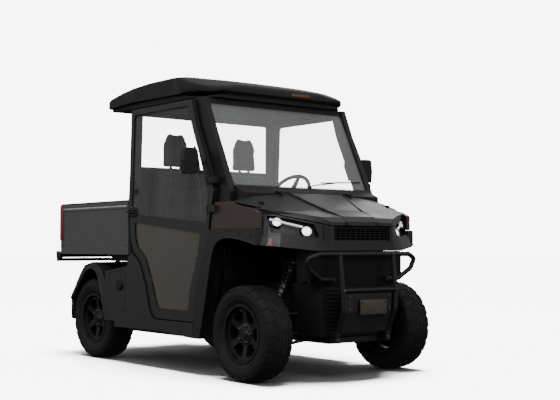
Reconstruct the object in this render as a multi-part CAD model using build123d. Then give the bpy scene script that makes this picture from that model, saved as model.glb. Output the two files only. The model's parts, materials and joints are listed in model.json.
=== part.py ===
# Side-by-side utility vehicle with a two-seat glazed cab and a tipping cargo bed.
# Millimetres. +X is the vehicle's left, -Y its front, +Z up. The origin is on the ground
# under the middle of the overall length.
import os
from math import cos, hypot, pi, radians, sin, sqrt

from build123d import *

os.makedirs("parts", exist_ok=True)

# ---------------------------------------------------------------- driving dimensions
# Layout along the vehicle
WHEELBASE = 2072.0
FRONT_REACH = 491.0
REAR_REACH = 689.0
OVERALL_LENGTH = FRONT_REACH + WHEELBASE + REAR_REACH
FRONT_AXLE_Y = -OVERALL_LENGTH / 2 + FRONT_REACH
REAR_AXLE_Y = FRONT_AXLE_Y + WHEELBASE
GUARD_STANDOFF = 146.0
RECEIVER_LENGTH = 226.0
FRAME_FRONT = FRONT_AXLE_Y - FRONT_REACH + GUARD_STANDOFF
FRAME_REAR = REAR_AXLE_Y + REAR_REACH - RECEIVER_LENGTH

# Wheels
TYRE_R = 326.0
TYRE_W = 230.0
LUGS = 20
LUG_GROOVE = 24.0
LUG_DEPTH = 12.0
BEAD_R = 188.0
RIM_W = 196.0
RIM_WALL = 9.0
FLANGE_H = 15.0
FLANGE_T = 8.0
SPOKES = 6
DISC_X = 30.0
DISC_T = 18.0
HALF_RIM = RIM_W / 2
BEAD_X = HALF_RIM - FLANGE_T

# Body sides
SKIN_X = 745.0
SKIN_T = 6.0
TYRE_TO_SKIN = 7.0
PILLAR_X = 688.0
PILLAR_T = 46.0
CAB_IN = PILLAR_X - PILLAR_T
COWL_SKIN_X = 722.0
ROOF_X = 735.0
FRONT_HALF_TRACK = 650.0
REAR_HALF_TRACK = SKIN_X - SKIN_T - TYRE_TO_SKIN - TYRE_W / 2

# Axles
STUB_R = 18.0
RUNNING_CLEARANCE = 0.05
WHEEL_GAP = 7.0
KINGPIN_INSET = 90.0
KNUCKLE_T = 30.0
KNUCKLE_HALF_H = 98.0
EYE_R = 22.0
EYE_H = 24.0
EYE_GAP = 2.0
BALL_STUD_R = 8.0
BALL_STUD_REACH = 20.0
ARM_TUBE_R = 11.0
ARM_SPREAD_FRONT = 130.0
ARM_SPREAD_REAR = 150.0
ARM_PLATE_Z = 454.0
CUP_R = 38.0
CUP_LENGTH = 40.0
DIFF_X = 120.0
SHAFT_R = 14.0
BOOT_R = 36.0
SHAFT_PLUNGE = 24.0
SHOCK_EYE_R = 18.0
SHOCK_INSET = 90.0
COILS = 7
COIL_R = 39.0
SPRING_SEAT = 46.0
FRONT_SHOCK_Z = 800.0
REAR_SHOCK_Z = 712.0

# Steering
STEER_ARM = 95.0
TIE_ROD_R = 9.0
TIE_ROD_Z = TYRE_R - 10.0
RACK_Y = FRONT_AXLE_Y - STEER_ARM
RACK_R = 24.0
RACK_HALF = 195.0
DRIVER_X = 345.0
WHEEL_CENTRE_Y = FRONT_AXLE_Y + 805.0
WHEEL_CENTRE_Z = 1330.0
COLUMN_TILT = 38.0
COLUMN_SHAFT_R = 14.0
WHEEL_R = 178.0
WHEEL_GRIP_R = 14.0
HUB_DEPTH = 30.0

# Frame
RAIL_X = 235.0
RAIL_W = 40.0
RAIL_H = 40.0
RAIL_IN = RAIL_X - RAIL_W / 2
RAIL_OUT = RAIL_X + RAIL_W / 2
FRAME_Z = 255.0
LOW_RAIL_TOP = FRAME_Z + RAIL_H
UPPER_RAIL_Z = 740.0
UPPER_RAIL_TOP = UPPER_RAIL_Z + RAIL_H
LINER_Z = 984.0
LINER_T = 5.0
ENGINE_X = 190.0
ENGINE_FRONT = REAR_AXLE_Y - 507.0
ENGINE_REAR = REAR_AXLE_Y - 157.0
ENGINE_TOP = 690.0
PROP_X = 70.0
PROP_Z = 322.0
PROP_R = 18.0

# Cab
FLOOR_Z = 345.0
FLOOR_T = 5.0
ROOF_UNDER = 1996.0
GLASS_T = 5.0
JAMB = 25.0
HEADER_Z = 1955.0
WINDOW_SILL_Z = 1345.0
SEAT_X = 345.0
SEAT_Z = 760.0

# Doors
DOOR_GAP = 6.0
DOOR_T = 38.0
DOOR_IN = PILLAR_X + DOOR_GAP
DOOR_OUT = DOOR_IN + DOOR_T
PANE_X = DOOR_OUT - 16.0
DOOR_AXIS_X = DOOR_OUT + 16.0
DOOR_AXIS_Y = FRONT_AXLE_Y + 329.0
DOOR_HINGES_Z = (1180.0, 1385.0)
BARREL_R = 8.0
BARREL_HALF = 10.0
BARREL_GAP = 2.0
HINGE_PIN_R = 4.0

# Bed
BED_X = 722.0
BED_FRONT = REAR_AXLE_Y - 557.0
BED_REAR = REAR_AXLE_Y + 580.0
BED_FLOOR_Z = 850.0
BED_FLOOR_T = 26.0
BED_FLOOR_TOP = BED_FLOOR_Z + BED_FLOOR_T
BED_WALL = 40.0
BED_TOP_Z = 1279.0
BED_HINGE_Y = REAR_AXLE_Y + 393.0
BED_HINGE_Z = 805.0
PRESSING = 4.0
GATE_T = 30.0
PANEL_GAP = 8.0
GATE_AXIS_Y = BED_REAR + 12.0
GATE_AXIS_Z = 848.0
CAB_REAR = BED_FRONT - 12.0

# Tipping cylinder
LIFT_FOOT_Y = REAR_AXLE_Y + 113.0
LIFT_FOOT_Z = 520.0
LIFT_EYE_Y = REAR_AXLE_Y + 193.0
LIFT_EYE_Z = 818.0
LIFT_PIN_R = 12.0
LIFT_EAR_X = 22.0
LIFT_EAR_T = 10.0
CYLINDER_R = 26.0
ROD_R = 12.0

# Nose
HOOD_GAP = 6.0
HOOD_SHELL = 6.0
HOOD_REAR = FRONT_AXLE_Y + 95.0
HOOD_AXIS_Y = HOOD_REAR + HOOD_GAP / 2
HOOD_AXIS_Z = 1302.0
HOOD_HINGE_X = 330.0
COWL_FRONT = HOOD_REAR + HOOD_GAP
COWL_TOP = 1290.0
NOSE_LOW_Z = 885.0
NOSE_HIGH_Z = 1130.0
NOSE_ROUND = 26.0
NOSE_CUT_Y = FRONT_AXLE_Y - 165.0
LAMP_INSET = 8.0
LAMP_DEPTH = 130.0
LAMP_POCKET = 48.0
BUMPER_DEPTH = 34.0
GRILLE_X = 262.0
GRILLE_LOW_Z = 950.0
GRILLE_HIGH_Z = 1048.0
GRILLE_POST = 73.0

# Guard and hitch
GUARD_TUBE_R = 17.0
GUARD_Y = FRONT_AXLE_Y - FRONT_REACH + GUARD_TUBE_R
GUARD_X = 248.0
RECEIVER_BORE = 51.0
RECEIVER_WALL = 6.5
RECEIVER_Z = 395.0
HITCH_PIN_R = 8.0
HITCH_PIN_INSET = 80.0


def from_front(points):
    """Points whose y counts from the front axle."""
    return [(FRONT_AXLE_Y + y, z) for y, z in points]


def from_rear(points):
    """Points whose y counts from the rear axle."""
    return [(REAR_AXLE_Y + y, z) for y, z in points]


# y and z round the left door as seen from its side, and round its window and its lower pane
DOOR_FRONT_EDGE = from_front([
    (592, 374), (580, 403), (555, 604), (518, 712), (469, 833), (408, 996), (384, 1137), (336, 1311),
    (445, 1560), (560, 1800), (620, 1985),
])
DOOR_REAR_EDGE = from_rear([
    (-617, 1985), (-593, 1453), (-580, 1280), (-614, 966), (-660, 872), (-765, 795), (-854, 621),
    (-914, 433),
    (-957, 385), (-999, 374),
])
DOOR_SIDE = DOOR_FRONT_EDGE + DOOR_REAR_EDGE
DOOR_WINDOW = from_front([(423, 1085), (400, 1290), (510, 1560), (615, 1800), (667, 1940)]) + from_rear([
    (-663, 1940), (-640, 1453), (-628, 1280), (-647, 1165),
])
DOOR_PANE = from_front([(503, 1012), (535, 860), (587, 720), (635, 600), (657, 452)]) + from_rear([
    (-1007, 452), (-967, 520), (-917, 660), (-817, 838), (-711, 905), (-675, 1000), (-669, 1104),
])
# the cab side's outer edge: cowl, front arch, foot, rear post, roof line and windscreen pillar
CAB_SIDE = from_front([
    (203, 1300), (203, 1228), (317, 1228), (317, 940), (366, 786), (402, 610), (438, 468), (474, 325),
    (495, FRAME_Z),
]) + from_rear([(-522, FRAME_Z), (-522, 760)]) + [(CAB_REAR, 840), (CAB_REAR, ROOF_UNDER)] + from_front([
    (526, ROOF_UNDER), (438, 1784), (339, 1597), (254, 1416),
])
# x and y of the left half round the nose, at the bumper's foot and at the headlamps' tops
NOSE_LOW = [(290, -410), (410, -380), (640, -275), (725, -175), (SKIN_X, -15), (SKIN_X, 335)]
NOSE_HIGH = [(290, -400), (360, -345), (625, -170), (698, -80), (728, 35), (728, 335)]
NOSE_HALF_X = 740.0
# the hood's cross sections: y from the front axle, then z at the side, at 560 mm out, at the crease
# and on the raised middle, and the middle's half width
HOOD_ROWS = [
    (95, 1226, 1268, 1291, 1297, 256),
    (-207, 1131, 1150, 1162, 1168, 170),
    (-365, 1099, 1108, 1115, 1121, 150),
    (-425, 1052, 1056, 1059, 1062, 146),
]
HOOD_LINE = from_front([(-425, 1046), (-365, 1074), (-207, 1126), (-95, 1180), (95, 1222)])
# x, z and radius of the left headlamp's two lenses, then the y behind each, from the front axle
LENSES = [(588, 1078, 36, -115), (418, 1014, 38, -220)]
# x, y and z limits of the left turn lamp
TURN_LAMP = (655, 712, FRONT_AXLE_Y - 285, FRONT_AXLE_Y - 205, 918, 972)
FENDER = from_front([
    (-165, 925), (3, 966), (211, 981), (318, 926), (366, 786), (402, 610), (438, 468), (474, 325),
    (495, 258), (572, 258),
    (572, 402), (547, 603), (510, 710), (461, 831), (400, 996), (393, 1034), (-165, 1034),
])
COWL_SIDE = from_front([
    (-155, 1036), (-155, 1140), (-93, 1168), (95, 1208), (101, 1226), (335, 1226), (370, 1137), (387, 1036),
])
# the edge where the rear side box meets the rear arch, and the arch band, counted from the wheel's centre
BOX_EDGE = [(-237, 314), (-304, 161), (-384, -4)]
ARCH_OUTER = [(-163, 414), (-29, 461), (107, 434), (193, 349), (353, 152)]
ARCH_INNER = [(335, 144), (163, 314), (90, 393), (-29, 420), (-130, 356), (-199, 155), (-234, -4)]


def from_rear_wheel(points):
    return [(REAR_AXLE_Y + y, TYRE_R + z) for y, z in points]


SILL = from_front([(576, FRAME_Z + 3), (576, 366)]) + from_rear([
    (-999, 366), (-952, 377), (-906, 428), (-846, 616), (-757, 788), (-653, 862), (-597, 835),
    (-585, 762), (-237, 715),
]) + from_rear_wheel(BOX_EDGE) + from_rear([(-392, 276), (-1064, 286)]) + from_front([(674, 262)])


# ---------------------------------------------------------------- drawing helpers
STRAIGHT_COSINE = -0.995


def inset(points, distance):
    """A closed outline moved inwards by a distance, its corners mitred."""
    count = len(points)
    area = sum(points[i - 1][0] * points[i][1] - points[i][0] * points[i - 1][1] for i in range(count))
    turn = 1.0 if area > 0 else -1.0
    moved = []
    for i in range(count):
        before, here, after = points[i - 1], points[i], points[(i + 1) % count]
        first = (here[0] - before[0], here[1] - before[1])
        second = (after[0] - here[0], after[1] - here[1])
        first_length, second_length = hypot(*first), hypot(*second)
        n1 = (-first[1] / first_length * turn, first[0] / first_length * turn)
        n2 = (-second[1] / second_length * turn, second[0] / second_length * turn)
        scale = distance / (1.0 + n1[0] * n2[0] + n1[1] * n2[1])
        moved.append((here[0] + (n1[0] + n2[0]) * scale, here[1] + (n1[1] + n2[1]) * scale))
    return moved


def corner_radius(before, here, after, corner):
    """The wanted round at one corner, smaller at short edges and none where they run straight on."""
    first = Vector(*before) - Vector(*here)
    second = Vector(*after) - Vector(*here)
    room = 0.45 * min(first.length, second.length)
    cosine = first.dot(second) / (first.length * second.length)
    if cosine < STRAIGHT_COSINE:
        return 0.0
    return min(corner, room * sqrt((1 - cosine) / (1 + cosine)))


def outline(points, corner=0.0):
    """A face inside a closed outline, its corners rounded where a radius is given."""
    if not corner:
        return make_face(Polyline(*points, close=True))
    following = points[1:] + points[:1]
    before = points[-1:] + points[:-1]
    radii = [corner_radius(*three, corner) for three in zip(before, points, following)]
    return make_face(FilletPolyline(*points, radius=radii, close=True))


def side_slab(points, x_low, x_high, corner=0.0):
    """A side outline of (y, z) points, filled between two x planes."""
    return extrude(Plane.YZ.offset(x_low) * outline(points, corner), x_high - x_low)


def plan_slab(points, z_low, z_high, corner=0.0):
    """A plan outline of (x, y) points, filled between two heights."""
    return extrude(Plane.XY.offset(z_low) * outline(points, corner), z_high - z_low)


def front_slab(points, y_low, y_high, corner=0.0):
    """A front outline of (x, z) points, filled between two y planes."""
    return extrude(Plane.XZ.offset(-y_high) * outline(points, corner), y_high - y_low)


def block(x_low, x_high, y_low, y_high, z_low, z_high):
    middle = ((x_low + x_high) / 2, (y_low + y_high) / 2, (z_low + z_high) / 2)
    return Pos(*middle) * Box(x_high - x_low, y_high - y_low, z_high - z_low)


def rod(start, end, radius):
    """A round bar from one point to another."""
    along = Vector(*end) - Vector(*start)
    return extrude(Plane(origin=start, z_dir=along) * Circle(radius), along.length)


def bent_tube(points, radius, bend):
    """A round tube along straight runs joined by bends."""
    path = FilletPolyline(*points, radius=bend)
    start = Plane(origin=path @ 0, z_dir=path % 0)
    return sweep(start * Circle(radius), path=path)


def panel(points, x_low, x_high, wall):
    """A pressed side panel: a skin at the higher x with its edges turned inwards."""
    return side_slab(points, x_low, x_high) - side_slab(inset(points, wall), x_low, x_high - wall)


def other_side(shape):
    return mirror(shape, about=Plane.YZ)


def both_sides(shape):
    return shape + other_side(shape)


def both_halves(half):
    """The whole outline round the nose from its left half."""
    return half + [(-x, y) for x, y in reversed(half)]


# ---------------------------------------------------------------- wheels
def tyre():
    """A tyre round the X axis with shoulder lugs, the rows half a pitch apart; its middle is the origin."""
    half = TYRE_W / 2
    side = [
        (BEAD_X, BEAD_R),
        (BEAD_X, BEAD_R + FLANGE_H),
        (half - 6, BEAD_R + 0.38 * (TYRE_R - BEAD_R)),
        (half, BEAD_R + 0.55 * (TYRE_R - BEAD_R)),
        (half - 6, TYRE_R - 30),
        (half - 26, TYRE_R - 6),
        (half * 0.45, TYRE_R),
    ]
    points = side + [(-x, r) for x, r in reversed(side)]
    body = revolve(outline(points), Axis.X)
    pitch = 360 / LUGS
    low_x, high_x = 0.38 * half, 1.1 * half
    grooves = []
    for row in (-1, 1):
        groove = Pos(row * (low_x + high_x) / 2, 0, TYRE_R) * Box(high_x - low_x, LUG_GROOVE, 2 * LUG_DEPTH)
        grooves += [Rot(pitch * (lug + 0.25 * row), 0, 0) * groove for lug in range(LUGS)]
    return body - grooves


def rim():
    """A cast wheel round the X axis, its open face towards +X."""
    barrel = [
        (HALF_RIM, BEAD_R + FLANGE_H),
        (BEAD_X, BEAD_R + FLANGE_H),
        (BEAD_X, BEAD_R),
        (-BEAD_X, BEAD_R),
        (-BEAD_X, BEAD_R + FLANGE_H),
        (-HALF_RIM, BEAD_R + FLANGE_H),
        (-HALF_RIM, BEAD_R - RIM_WALL + 4),
        (0, BEAD_R - RIM_WALL - 6),
        (HALF_RIM, BEAD_R - RIM_WALL + 4),
    ]
    bore = STUB_R + RUNNING_CLEARANCE
    hub_r = 75.0
    disc = [
        (DISC_X, bore),
        (DISC_X, hub_r),
        (DISC_X + 22, BEAD_R - 5),
        (DISC_X + 22 + DISC_T, BEAD_R - 5),
        (DISC_X + DISC_T + 6, hub_r),
        (DISC_X + DISC_T + 16, 48),
        (DISC_X + DISC_T + 16, bore),
    ]
    wheel = revolve(outline(barrel), Axis.X) + revolve(outline(disc), Axis.X)
    cap_x = DISC_X + DISC_T + 14
    cap = [(cap_x, 0), (cap_x, 34), (cap_x + 12, 28), (cap_x + 14, 0)]
    wheel += revolve(outline(cap), Axis.X)
    inner, outer = hub_r + 9, BEAD_R - RIM_WALL - 20
    pitch = 2 * pi / SPOKES
    for spoke in range(SPOKES):
        middle = spoke * pitch
        window = [
            (inner, middle - 0.24 * pitch),
            (outer, middle - 0.37 * pitch),
            (outer + 8, middle),
            (outer, middle + 0.37 * pitch),
            (inner, middle + 0.24 * pitch),
        ]
        corners = [(r * cos(a), r * sin(a)) for r, a in window]
        wheel -= side_slab(corners, 0, HALF_RIM, corner=9)
    return wheel


def wheel_place(half_track, axle_y, side, shape):
    shape = shape if side > 0 else other_side(shape)
    return Pos(side * half_track, axle_y, TYRE_R) * shape


# ---------------------------------------------------------------- axles and suspension
def upright(half_track):
    """The left wheel carrier, its steering axis along Z and its stub along +X."""
    king = half_track - KINGPIN_INSET
    disc = half_track + DISC_X
    shape = block(king - KNUCKLE_T / 2, king + KNUCKLE_T / 2, -26, 26, TYRE_R - KNUCKLE_HALF_H,
        TYRE_R + KNUCKLE_HALF_H)
    shape += rod((king, 0, TYRE_R), (disc - WHEEL_GAP, 0, TYRE_R), 50)
    shape += rod((king, 0, TYRE_R), (disc + DISC_T + 10, 0, TYRE_R), STUB_R)
    shape += rod((king - CUP_LENGTH, 0, TYRE_R), (king, 0, TYRE_R), CUP_R)
    for side in (-1, 1):
        low = TYRE_R + side * (KNUCKLE_HALF_H - EYE_H)
        high = TYRE_R + side * KNUCKLE_HALF_H
        shape += rod((king, 0, low), (king, 0, high), EYE_R)
        deep = high - side * (BALL_STUD_REACH + EYE_GAP)
        shape -= rod((king, 0, deep), (king, 0, high), BALL_STUD_R + RUNNING_CLEARANCE)
    return shape


def front_knuckle():
    """The left steering knuckle with its arm reaching forward to the tie rod."""
    king = FRONT_HALF_TRACK - KINGPIN_INSET
    arm_top = TIE_ROD_Z - TIE_ROD_R - 5
    arm = plan_slab([(king - 14, 0), (king + 14, 0), (king + 14, -STEER_ARM - 14),
        (king - 14, -STEER_ARM - 14)],
                    arm_top - 20, arm_top)
    return Pos(0, FRONT_AXLE_Y, 0) * (upright(FRONT_HALF_TRACK) + arm)


def arms(half_track, axle_y, gap):
    """Upper and lower wishbones of the left side, each with an eye and a stud into the wheel carrier."""
    king = half_track - KINGPIN_INSET
    shapes = []
    rows = [
        # side of the axle, height at the frame
        (1, TYRE_R + 130),
        (-1, FRAME_Z + RAIL_H / 2),
    ]
    for side, frame_z in rows:
        near = TYRE_R + side * (KNUCKLE_HALF_H + gap)
        far = near + side * EYE_H
        eye_z = near + side * EYE_H * 0.65
        arm = rod((king, axle_y, near), (king, axle_y, far), EYE_R)
        arm += rod((king, axle_y, near - side * BALL_STUD_REACH), (king, axle_y, near), BALL_STUD_R)
        for spread in (-ARM_SPREAD_FRONT, ARM_SPREAD_REAR):
            arm += rod((king, axle_y, eye_z), (RAIL_OUT, axle_y + spread, frame_z), ARM_TUBE_R)
        if side > 0:
            middle = king - SHOCK_INSET
            arm += block(middle - 22, middle + 22, axle_y - 52, axle_y + 52, ARM_PLATE_Z - 12, ARM_PLATE_Z)
        arm -= block(RAIL_OUT - 60, RAIL_OUT, axle_y - 300, axle_y + 300, 0, LINER_Z)
        shapes.append(arm)
    return shapes


def shock(half_track, axle_y, top_z):
    """A spring over its damper, from the left upper wishbone to the frame."""
    low = (half_track - KINGPIN_INSET - SHOCK_INSET, axle_y, ARM_PLATE_Z + SHOCK_EYE_R)
    high = (RAIL_OUT + SHOCK_EYE_R, axle_y, top_z)
    along = Vector(*high) - Vector(*low)
    length = along.length
    coil_low, coil_high = SPRING_SEAT, length - SPRING_SEAT
    pitch = (coil_high - coil_low) / COILS
    seat_r = COIL_R + 3
    side = [(0, 10), (12, 10), (12, coil_low - 6), (seat_r, coil_low - 6), (seat_r, coil_low)]
    for coil in range(COILS):
        foot = coil_low + coil * pitch
        side += [(COIL_R - 8, foot + 0.1 * pitch), (COIL_R, foot + 0.5 * pitch)]
    side += [(COIL_R - 8, coil_high), (seat_r, coil_high), (seat_r, coil_high + 6), (14, coil_high + 6)]
    side += [(14, length - 10), (0, length - 10)]
    body = Plane(origin=low, z_dir=along, x_dir=(0, 1, 0)) * revolve(Plane.XZ * outline(side), Axis.Z)
    for end in (low, high):
        body += rod((end[0], end[1] - 16, end[2]), (end[0], end[1] + 16, end[2]), SHOCK_EYE_R)
    return body


def half_shaft(half_track, axle_y):
    """A drive shaft with a boot at each end, from the differential to the left wheel carrier."""
    end = half_track - KINGPIN_INSET - CUP_LENGTH - SHAFT_PLUNGE
    profile = [
        (DIFF_X, 0), (DIFF_X, BOOT_R), (DIFF_X + 40, BOOT_R), (DIFF_X + 90, SHAFT_R),
        (end - 50, SHAFT_R), (end, BOOT_R * 0.8), (end, 0),
    ]
    return Pos(0, axle_y, TYRE_R) * revolve(outline(profile), Axis.X)


def driveline():
    """The differentials on their cross bars, the propshaft from the engine and the half shafts."""
    front_low, front_high = FRONT_AXLE_Y - 60, FRONT_AXLE_Y + 62
    front = front_slab([(-120, 246), (120, 246), (120, 380), (70, 412), (-70, 412), (-120, 380)],
        front_low, front_high, 12)
    front += block(-RAIL_IN, RAIL_IN, FRONT_AXLE_Y - 20, FRONT_AXLE_Y + 20, FRAME_Z + 5, FRAME_Z + 29)
    front += rod((PROP_X, front_high, PROP_Z), (PROP_X, ENGINE_FRONT, PROP_Z), PROP_R)
    rear = front_slab([(-120, 226), (120, 226), (140, 330), (100, 430), (-100, 430), (-140, 330)],
                      ENGINE_REAR, REAR_AXLE_Y + 90, 14)
    rear += block(-RAIL_IN, RAIL_IN, REAR_AXLE_Y - 20, REAR_AXLE_Y + 20, FRAME_Z + 5, FRAME_Z + 29)
    front += both_sides(half_shaft(FRONT_HALF_TRACK, FRONT_AXLE_Y))
    rear += both_sides(half_shaft(REAR_HALF_TRACK, REAR_AXLE_Y))
    return front + rear


def engine():
    """The engine and gearbox under the front of the bed, as one mass."""
    return block(-ENGINE_X, ENGINE_X, ENGINE_FRONT, ENGINE_REAR, LOW_RAIL_TOP, ENGINE_TOP)


def rack_housing():
    shape = rod((-RACK_HALF, RACK_Y, TIE_ROD_Z), (RACK_HALF, RACK_Y, TIE_ROD_Z), RACK_R)
    return shape - rod((-RACK_HALF, RACK_Y, TIE_ROD_Z), (RACK_HALF, RACK_Y, TIE_ROD_Z), TIE_ROD_R + 3)


def tie_rods():
    """The rack bar with a tie rod and an eye over each knuckle arm."""
    reach = FRONT_HALF_TRACK - KINGPIN_INSET
    shape = rod((-reach, RACK_Y, TIE_ROD_Z), (reach, RACK_Y, TIE_ROD_Z), TIE_ROD_R)
    for side in (-1, 1):
        eye = side * reach
        shape += rod((eye, RACK_Y, TIE_ROD_Z - TIE_ROD_R - 2), (eye, RACK_Y, TIE_ROD_Z + TIE_ROD_R + 2), 16)
    return shape


# ---------------------------------------------------------------- frame
def chassis_frame():
    """Two ladder rails with posts, shock towers, cross members and the bed's hinge pins."""
    side = block(RAIL_IN, RAIL_OUT, FRAME_FRONT, FRAME_REAR, FRAME_Z, LOW_RAIL_TOP)
    posts = [
        # y of the post, top height
        (FRONT_AXLE_Y - ARM_SPREAD_FRONT, LINER_Z),
        (FRONT_AXLE_Y + ARM_SPREAD_REAR, LINER_Z),
        (FRAME_FRONT + RAIL_W / 2, LINER_Z),
        (REAR_AXLE_Y - ARM_SPREAD_FRONT, UPPER_RAIL_TOP),
        (REAR_AXLE_Y + ARM_SPREAD_REAR, UPPER_RAIL_TOP),
        (BED_FRONT + 48, UPPER_RAIL_TOP),
        (FRAME_REAR - RAIL_W / 2, UPPER_RAIL_TOP),
    ]
    for y, top in posts:
        side += block(RAIL_IN, RAIL_OUT, y - RAIL_W / 2, y + RAIL_W / 2, FRAME_Z, top)
    runs = [
        # y low, y high, z low, z high
        (BED_FRONT + 28, FRAME_REAR, UPPER_RAIL_Z, UPPER_RAIL_TOP),
        (FRONT_AXLE_Y - ARM_SPREAD_FRONT, FRONT_AXLE_Y + ARM_SPREAD_REAR, FRONT_SHOCK_Z - 20,
        FRONT_SHOCK_Z + 20),
        (REAR_AXLE_Y - 28, REAR_AXLE_Y + 28, REAR_SHOCK_Z - 26, UPPER_RAIL_Z),
        (FRAME_FRONT, FRONT_AXLE_Y, 560, 560 + RAIL_H),
    ]
    for y_low, y_high, z_low, z_high in runs:
        side += block(RAIL_IN, RAIL_OUT, y_low, y_high, z_low, z_high)
    side += block(RAIL_OUT, RAIL_OUT + 12, BED_HINGE_Y - 30, BED_HINGE_Y + 30, UPPER_RAIL_Z,
        BED_HINGE_Z + 24)
    side += rod((RAIL_OUT, BED_HINGE_Y, BED_HINGE_Z), (RAIL_OUT + 52, BED_HINGE_Y, BED_HINGE_Z), LIFT_PIN_R)
    foot_low, foot_high = LIFT_FOOT_Y - 20, LIFT_FOOT_Y + 20
    side += block(RAIL_IN - 46, RAIL_IN, foot_low, foot_high, FRAME_Z, LIFT_FOOT_Z - 36)
    side += block(LIFT_EAR_X - LIFT_EAR_T / 2, LIFT_EAR_X + LIFT_EAR_T / 2, foot_low, foot_high,
                  LIFT_FOOT_Z - 40, LIFT_FOOT_Z + 20)
    frame = both_sides(side)
    crosses = [
        # y low, y high, z low, z high
        (FRAME_FRONT, FRAME_FRONT + RAIL_W, FRAME_Z, LOW_RAIL_TOP),
        (RACK_Y - 22, RACK_Y + 22, FRAME_Z, TIE_ROD_Z - RACK_R + 6),
        (FRONT_AXLE_Y + 495, FRONT_AXLE_Y + 535, FRAME_Z, 280),
        (REAR_AXLE_Y - 837, REAR_AXLE_Y - 797, FRAME_Z, 280),
        (ENGINE_FRONT + 20, ENGINE_FRONT + 60, FRAME_Z, LOW_RAIL_TOP),
        (ENGINE_REAR - 60, ENGINE_REAR - 20, FRAME_Z, LOW_RAIL_TOP),
        (FRAME_REAR - RAIL_W, FRAME_REAR, FRAME_Z, LOW_RAIL_TOP),
        (FRAME_REAR - RAIL_W, FRAME_REAR, UPPER_RAIL_Z, UPPER_RAIL_TOP),
        (FRAME_FRONT, FRAME_FRONT + RAIL_W, 560, 560 + RAIL_H),
        (FRAME_REAR - 12, FRAME_REAR, LOW_RAIL_TOP, RECEIVER_Z + 70),
        (foot_low, foot_high, LIFT_FOOT_Z - 76, LIFT_FOOT_Z - 36),
    ]
    for y_low, y_high, z_low, z_high in crosses:
        frame += block(-RAIL_IN, RAIL_IN, y_low, y_high, z_low, z_high)
    frame -= rod((-RACK_HALF, RACK_Y, TIE_ROD_Z), (RACK_HALF, RACK_Y, TIE_ROD_Z), RACK_R)
    return frame + rod((-30, LIFT_FOOT_Y, LIFT_FOOT_Z), (30, LIFT_FOOT_Y, LIFT_FOOT_Z), LIFT_PIN_R)


def hitch_receiver():
    """A square tube for a drawbar, with a collar at its mouth and a cross hole for its pin."""
    bore = RECEIVER_BORE / 2
    outer = bore + RECEIVER_WALL
    rear = FRAME_REAR + RECEIVER_LENGTH
    shape = block(-outer, outer, FRAME_REAR, rear, RECEIVER_Z - outer, RECEIVER_Z + outer)
    shape += block(-outer - 8, outer + 8, rear - 30, rear, RECEIVER_Z - outer - 8, RECEIVER_Z + outer + 8)
    shape -= block(-bore, bore, FRAME_REAR + 8, rear + 1, RECEIVER_Z - bore, RECEIVER_Z + bore)
    pin_y = rear - HITCH_PIN_INSET
    return shape - rod((-60, pin_y, RECEIVER_Z), (60, pin_y, RECEIVER_Z), HITCH_PIN_R)


# ---------------------------------------------------------------- cab
def cabin_tub():
    """The floor, the toe board with the wall ahead of it, and the wall behind the seats."""
    toe = from_front([(495, FLOOR_Z + FLOOR_T), (371, 560), (329, 690), (329, 1228), (323, 1228),
        (323, 690), (365, 560),
                      (489, FLOOR_Z)])
    wall_y = BED_FRONT - 58
    floor = side_slab([(wall_y, FLOOR_Z), (wall_y, FLOOR_Z + FLOOR_T)] + toe, -CAB_IN, CAB_IN)
    rib = block(-CAB_IN + 60, CAB_IN - 60, wall_y + 12, wall_y + 20, 1180, 1210)
    return floor + block(-CAB_IN, CAB_IN, wall_y, wall_y + 12, FLOOR_Z, 1500) + rib


def cowl():
    """The box between the hood and the windscreen, with the fixed halves of the hood's hinges."""
    side = [(COWL_FRONT, 1228), (COWL_FRONT, COWL_TOP)] + from_front([(220, WINDOW_SILL_Z),
        (285, WINDOW_SILL_Z),
                                                                       (335, 1335), (335, 1228)])
    shape = side_slab(side, -CAB_IN, CAB_IN)
    for inner, outer in ((-26, -14), (14, 26)):
        low, high = HOOD_HINGE_X + inner, HOOD_HINGE_X + outer
        leaf = block(low, high, HOOD_AXIS_Y, COWL_FRONT + 34, COWL_TOP - 6, HOOD_AXIS_Z + 3)
        leaf &= rod((0, HOOD_AXIS_Y + 60, HOOD_AXIS_Z - 56), (800, HOOD_AXIS_Y + 60, HOOD_AXIS_Z - 56), 84)
        barrel = rod((low, HOOD_AXIS_Y, HOOD_AXIS_Z), (high, HOOD_AXIS_Y, HOOD_AXIS_Z), BARREL_R)
        shape += both_sides(leaf + barrel)
    pin = rod((HOOD_HINGE_X - 26, HOOD_AXIS_Y, HOOD_AXIS_Z), (HOOD_HINGE_X + 26, HOOD_AXIS_Y,
        HOOD_AXIS_Z), HINGE_PIN_R)
    return shape + both_sides(pin)


def door_bracket(z, foot_x):
    """The fixed half of a door hinge, from the body side out to the hinge's axis."""
    plate_low, plate_high = DOOR_AXIS_Y - BARREL_R - 16, DOOR_AXIS_Y - BARREL_R - 3
    reach = BARREL_HALF + BARREL_GAP
    shape = block(foot_x, DOOR_AXIS_X + BARREL_R, plate_low, plate_high, z - reach - 12, z + reach + 12)
    inner, outer = DOOR_AXIS_X - BARREL_R, DOOR_AXIS_X + BARREL_R
    for low in (z - reach - 12, z + reach):
        shape += block(inner, outer, plate_high, DOOR_AXIS_Y, low, low + 12)
        shape += rod((DOOR_AXIS_X, DOOR_AXIS_Y, low), (DOOR_AXIS_X, DOOR_AXIS_Y, low + 12), BARREL_R)
    return shape + rod((DOOR_AXIS_X, DOOR_AXIS_Y, z - reach), (DOOR_AXIS_X, DOOR_AXIS_Y, z + reach),
        HINGE_PIN_R)


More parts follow.
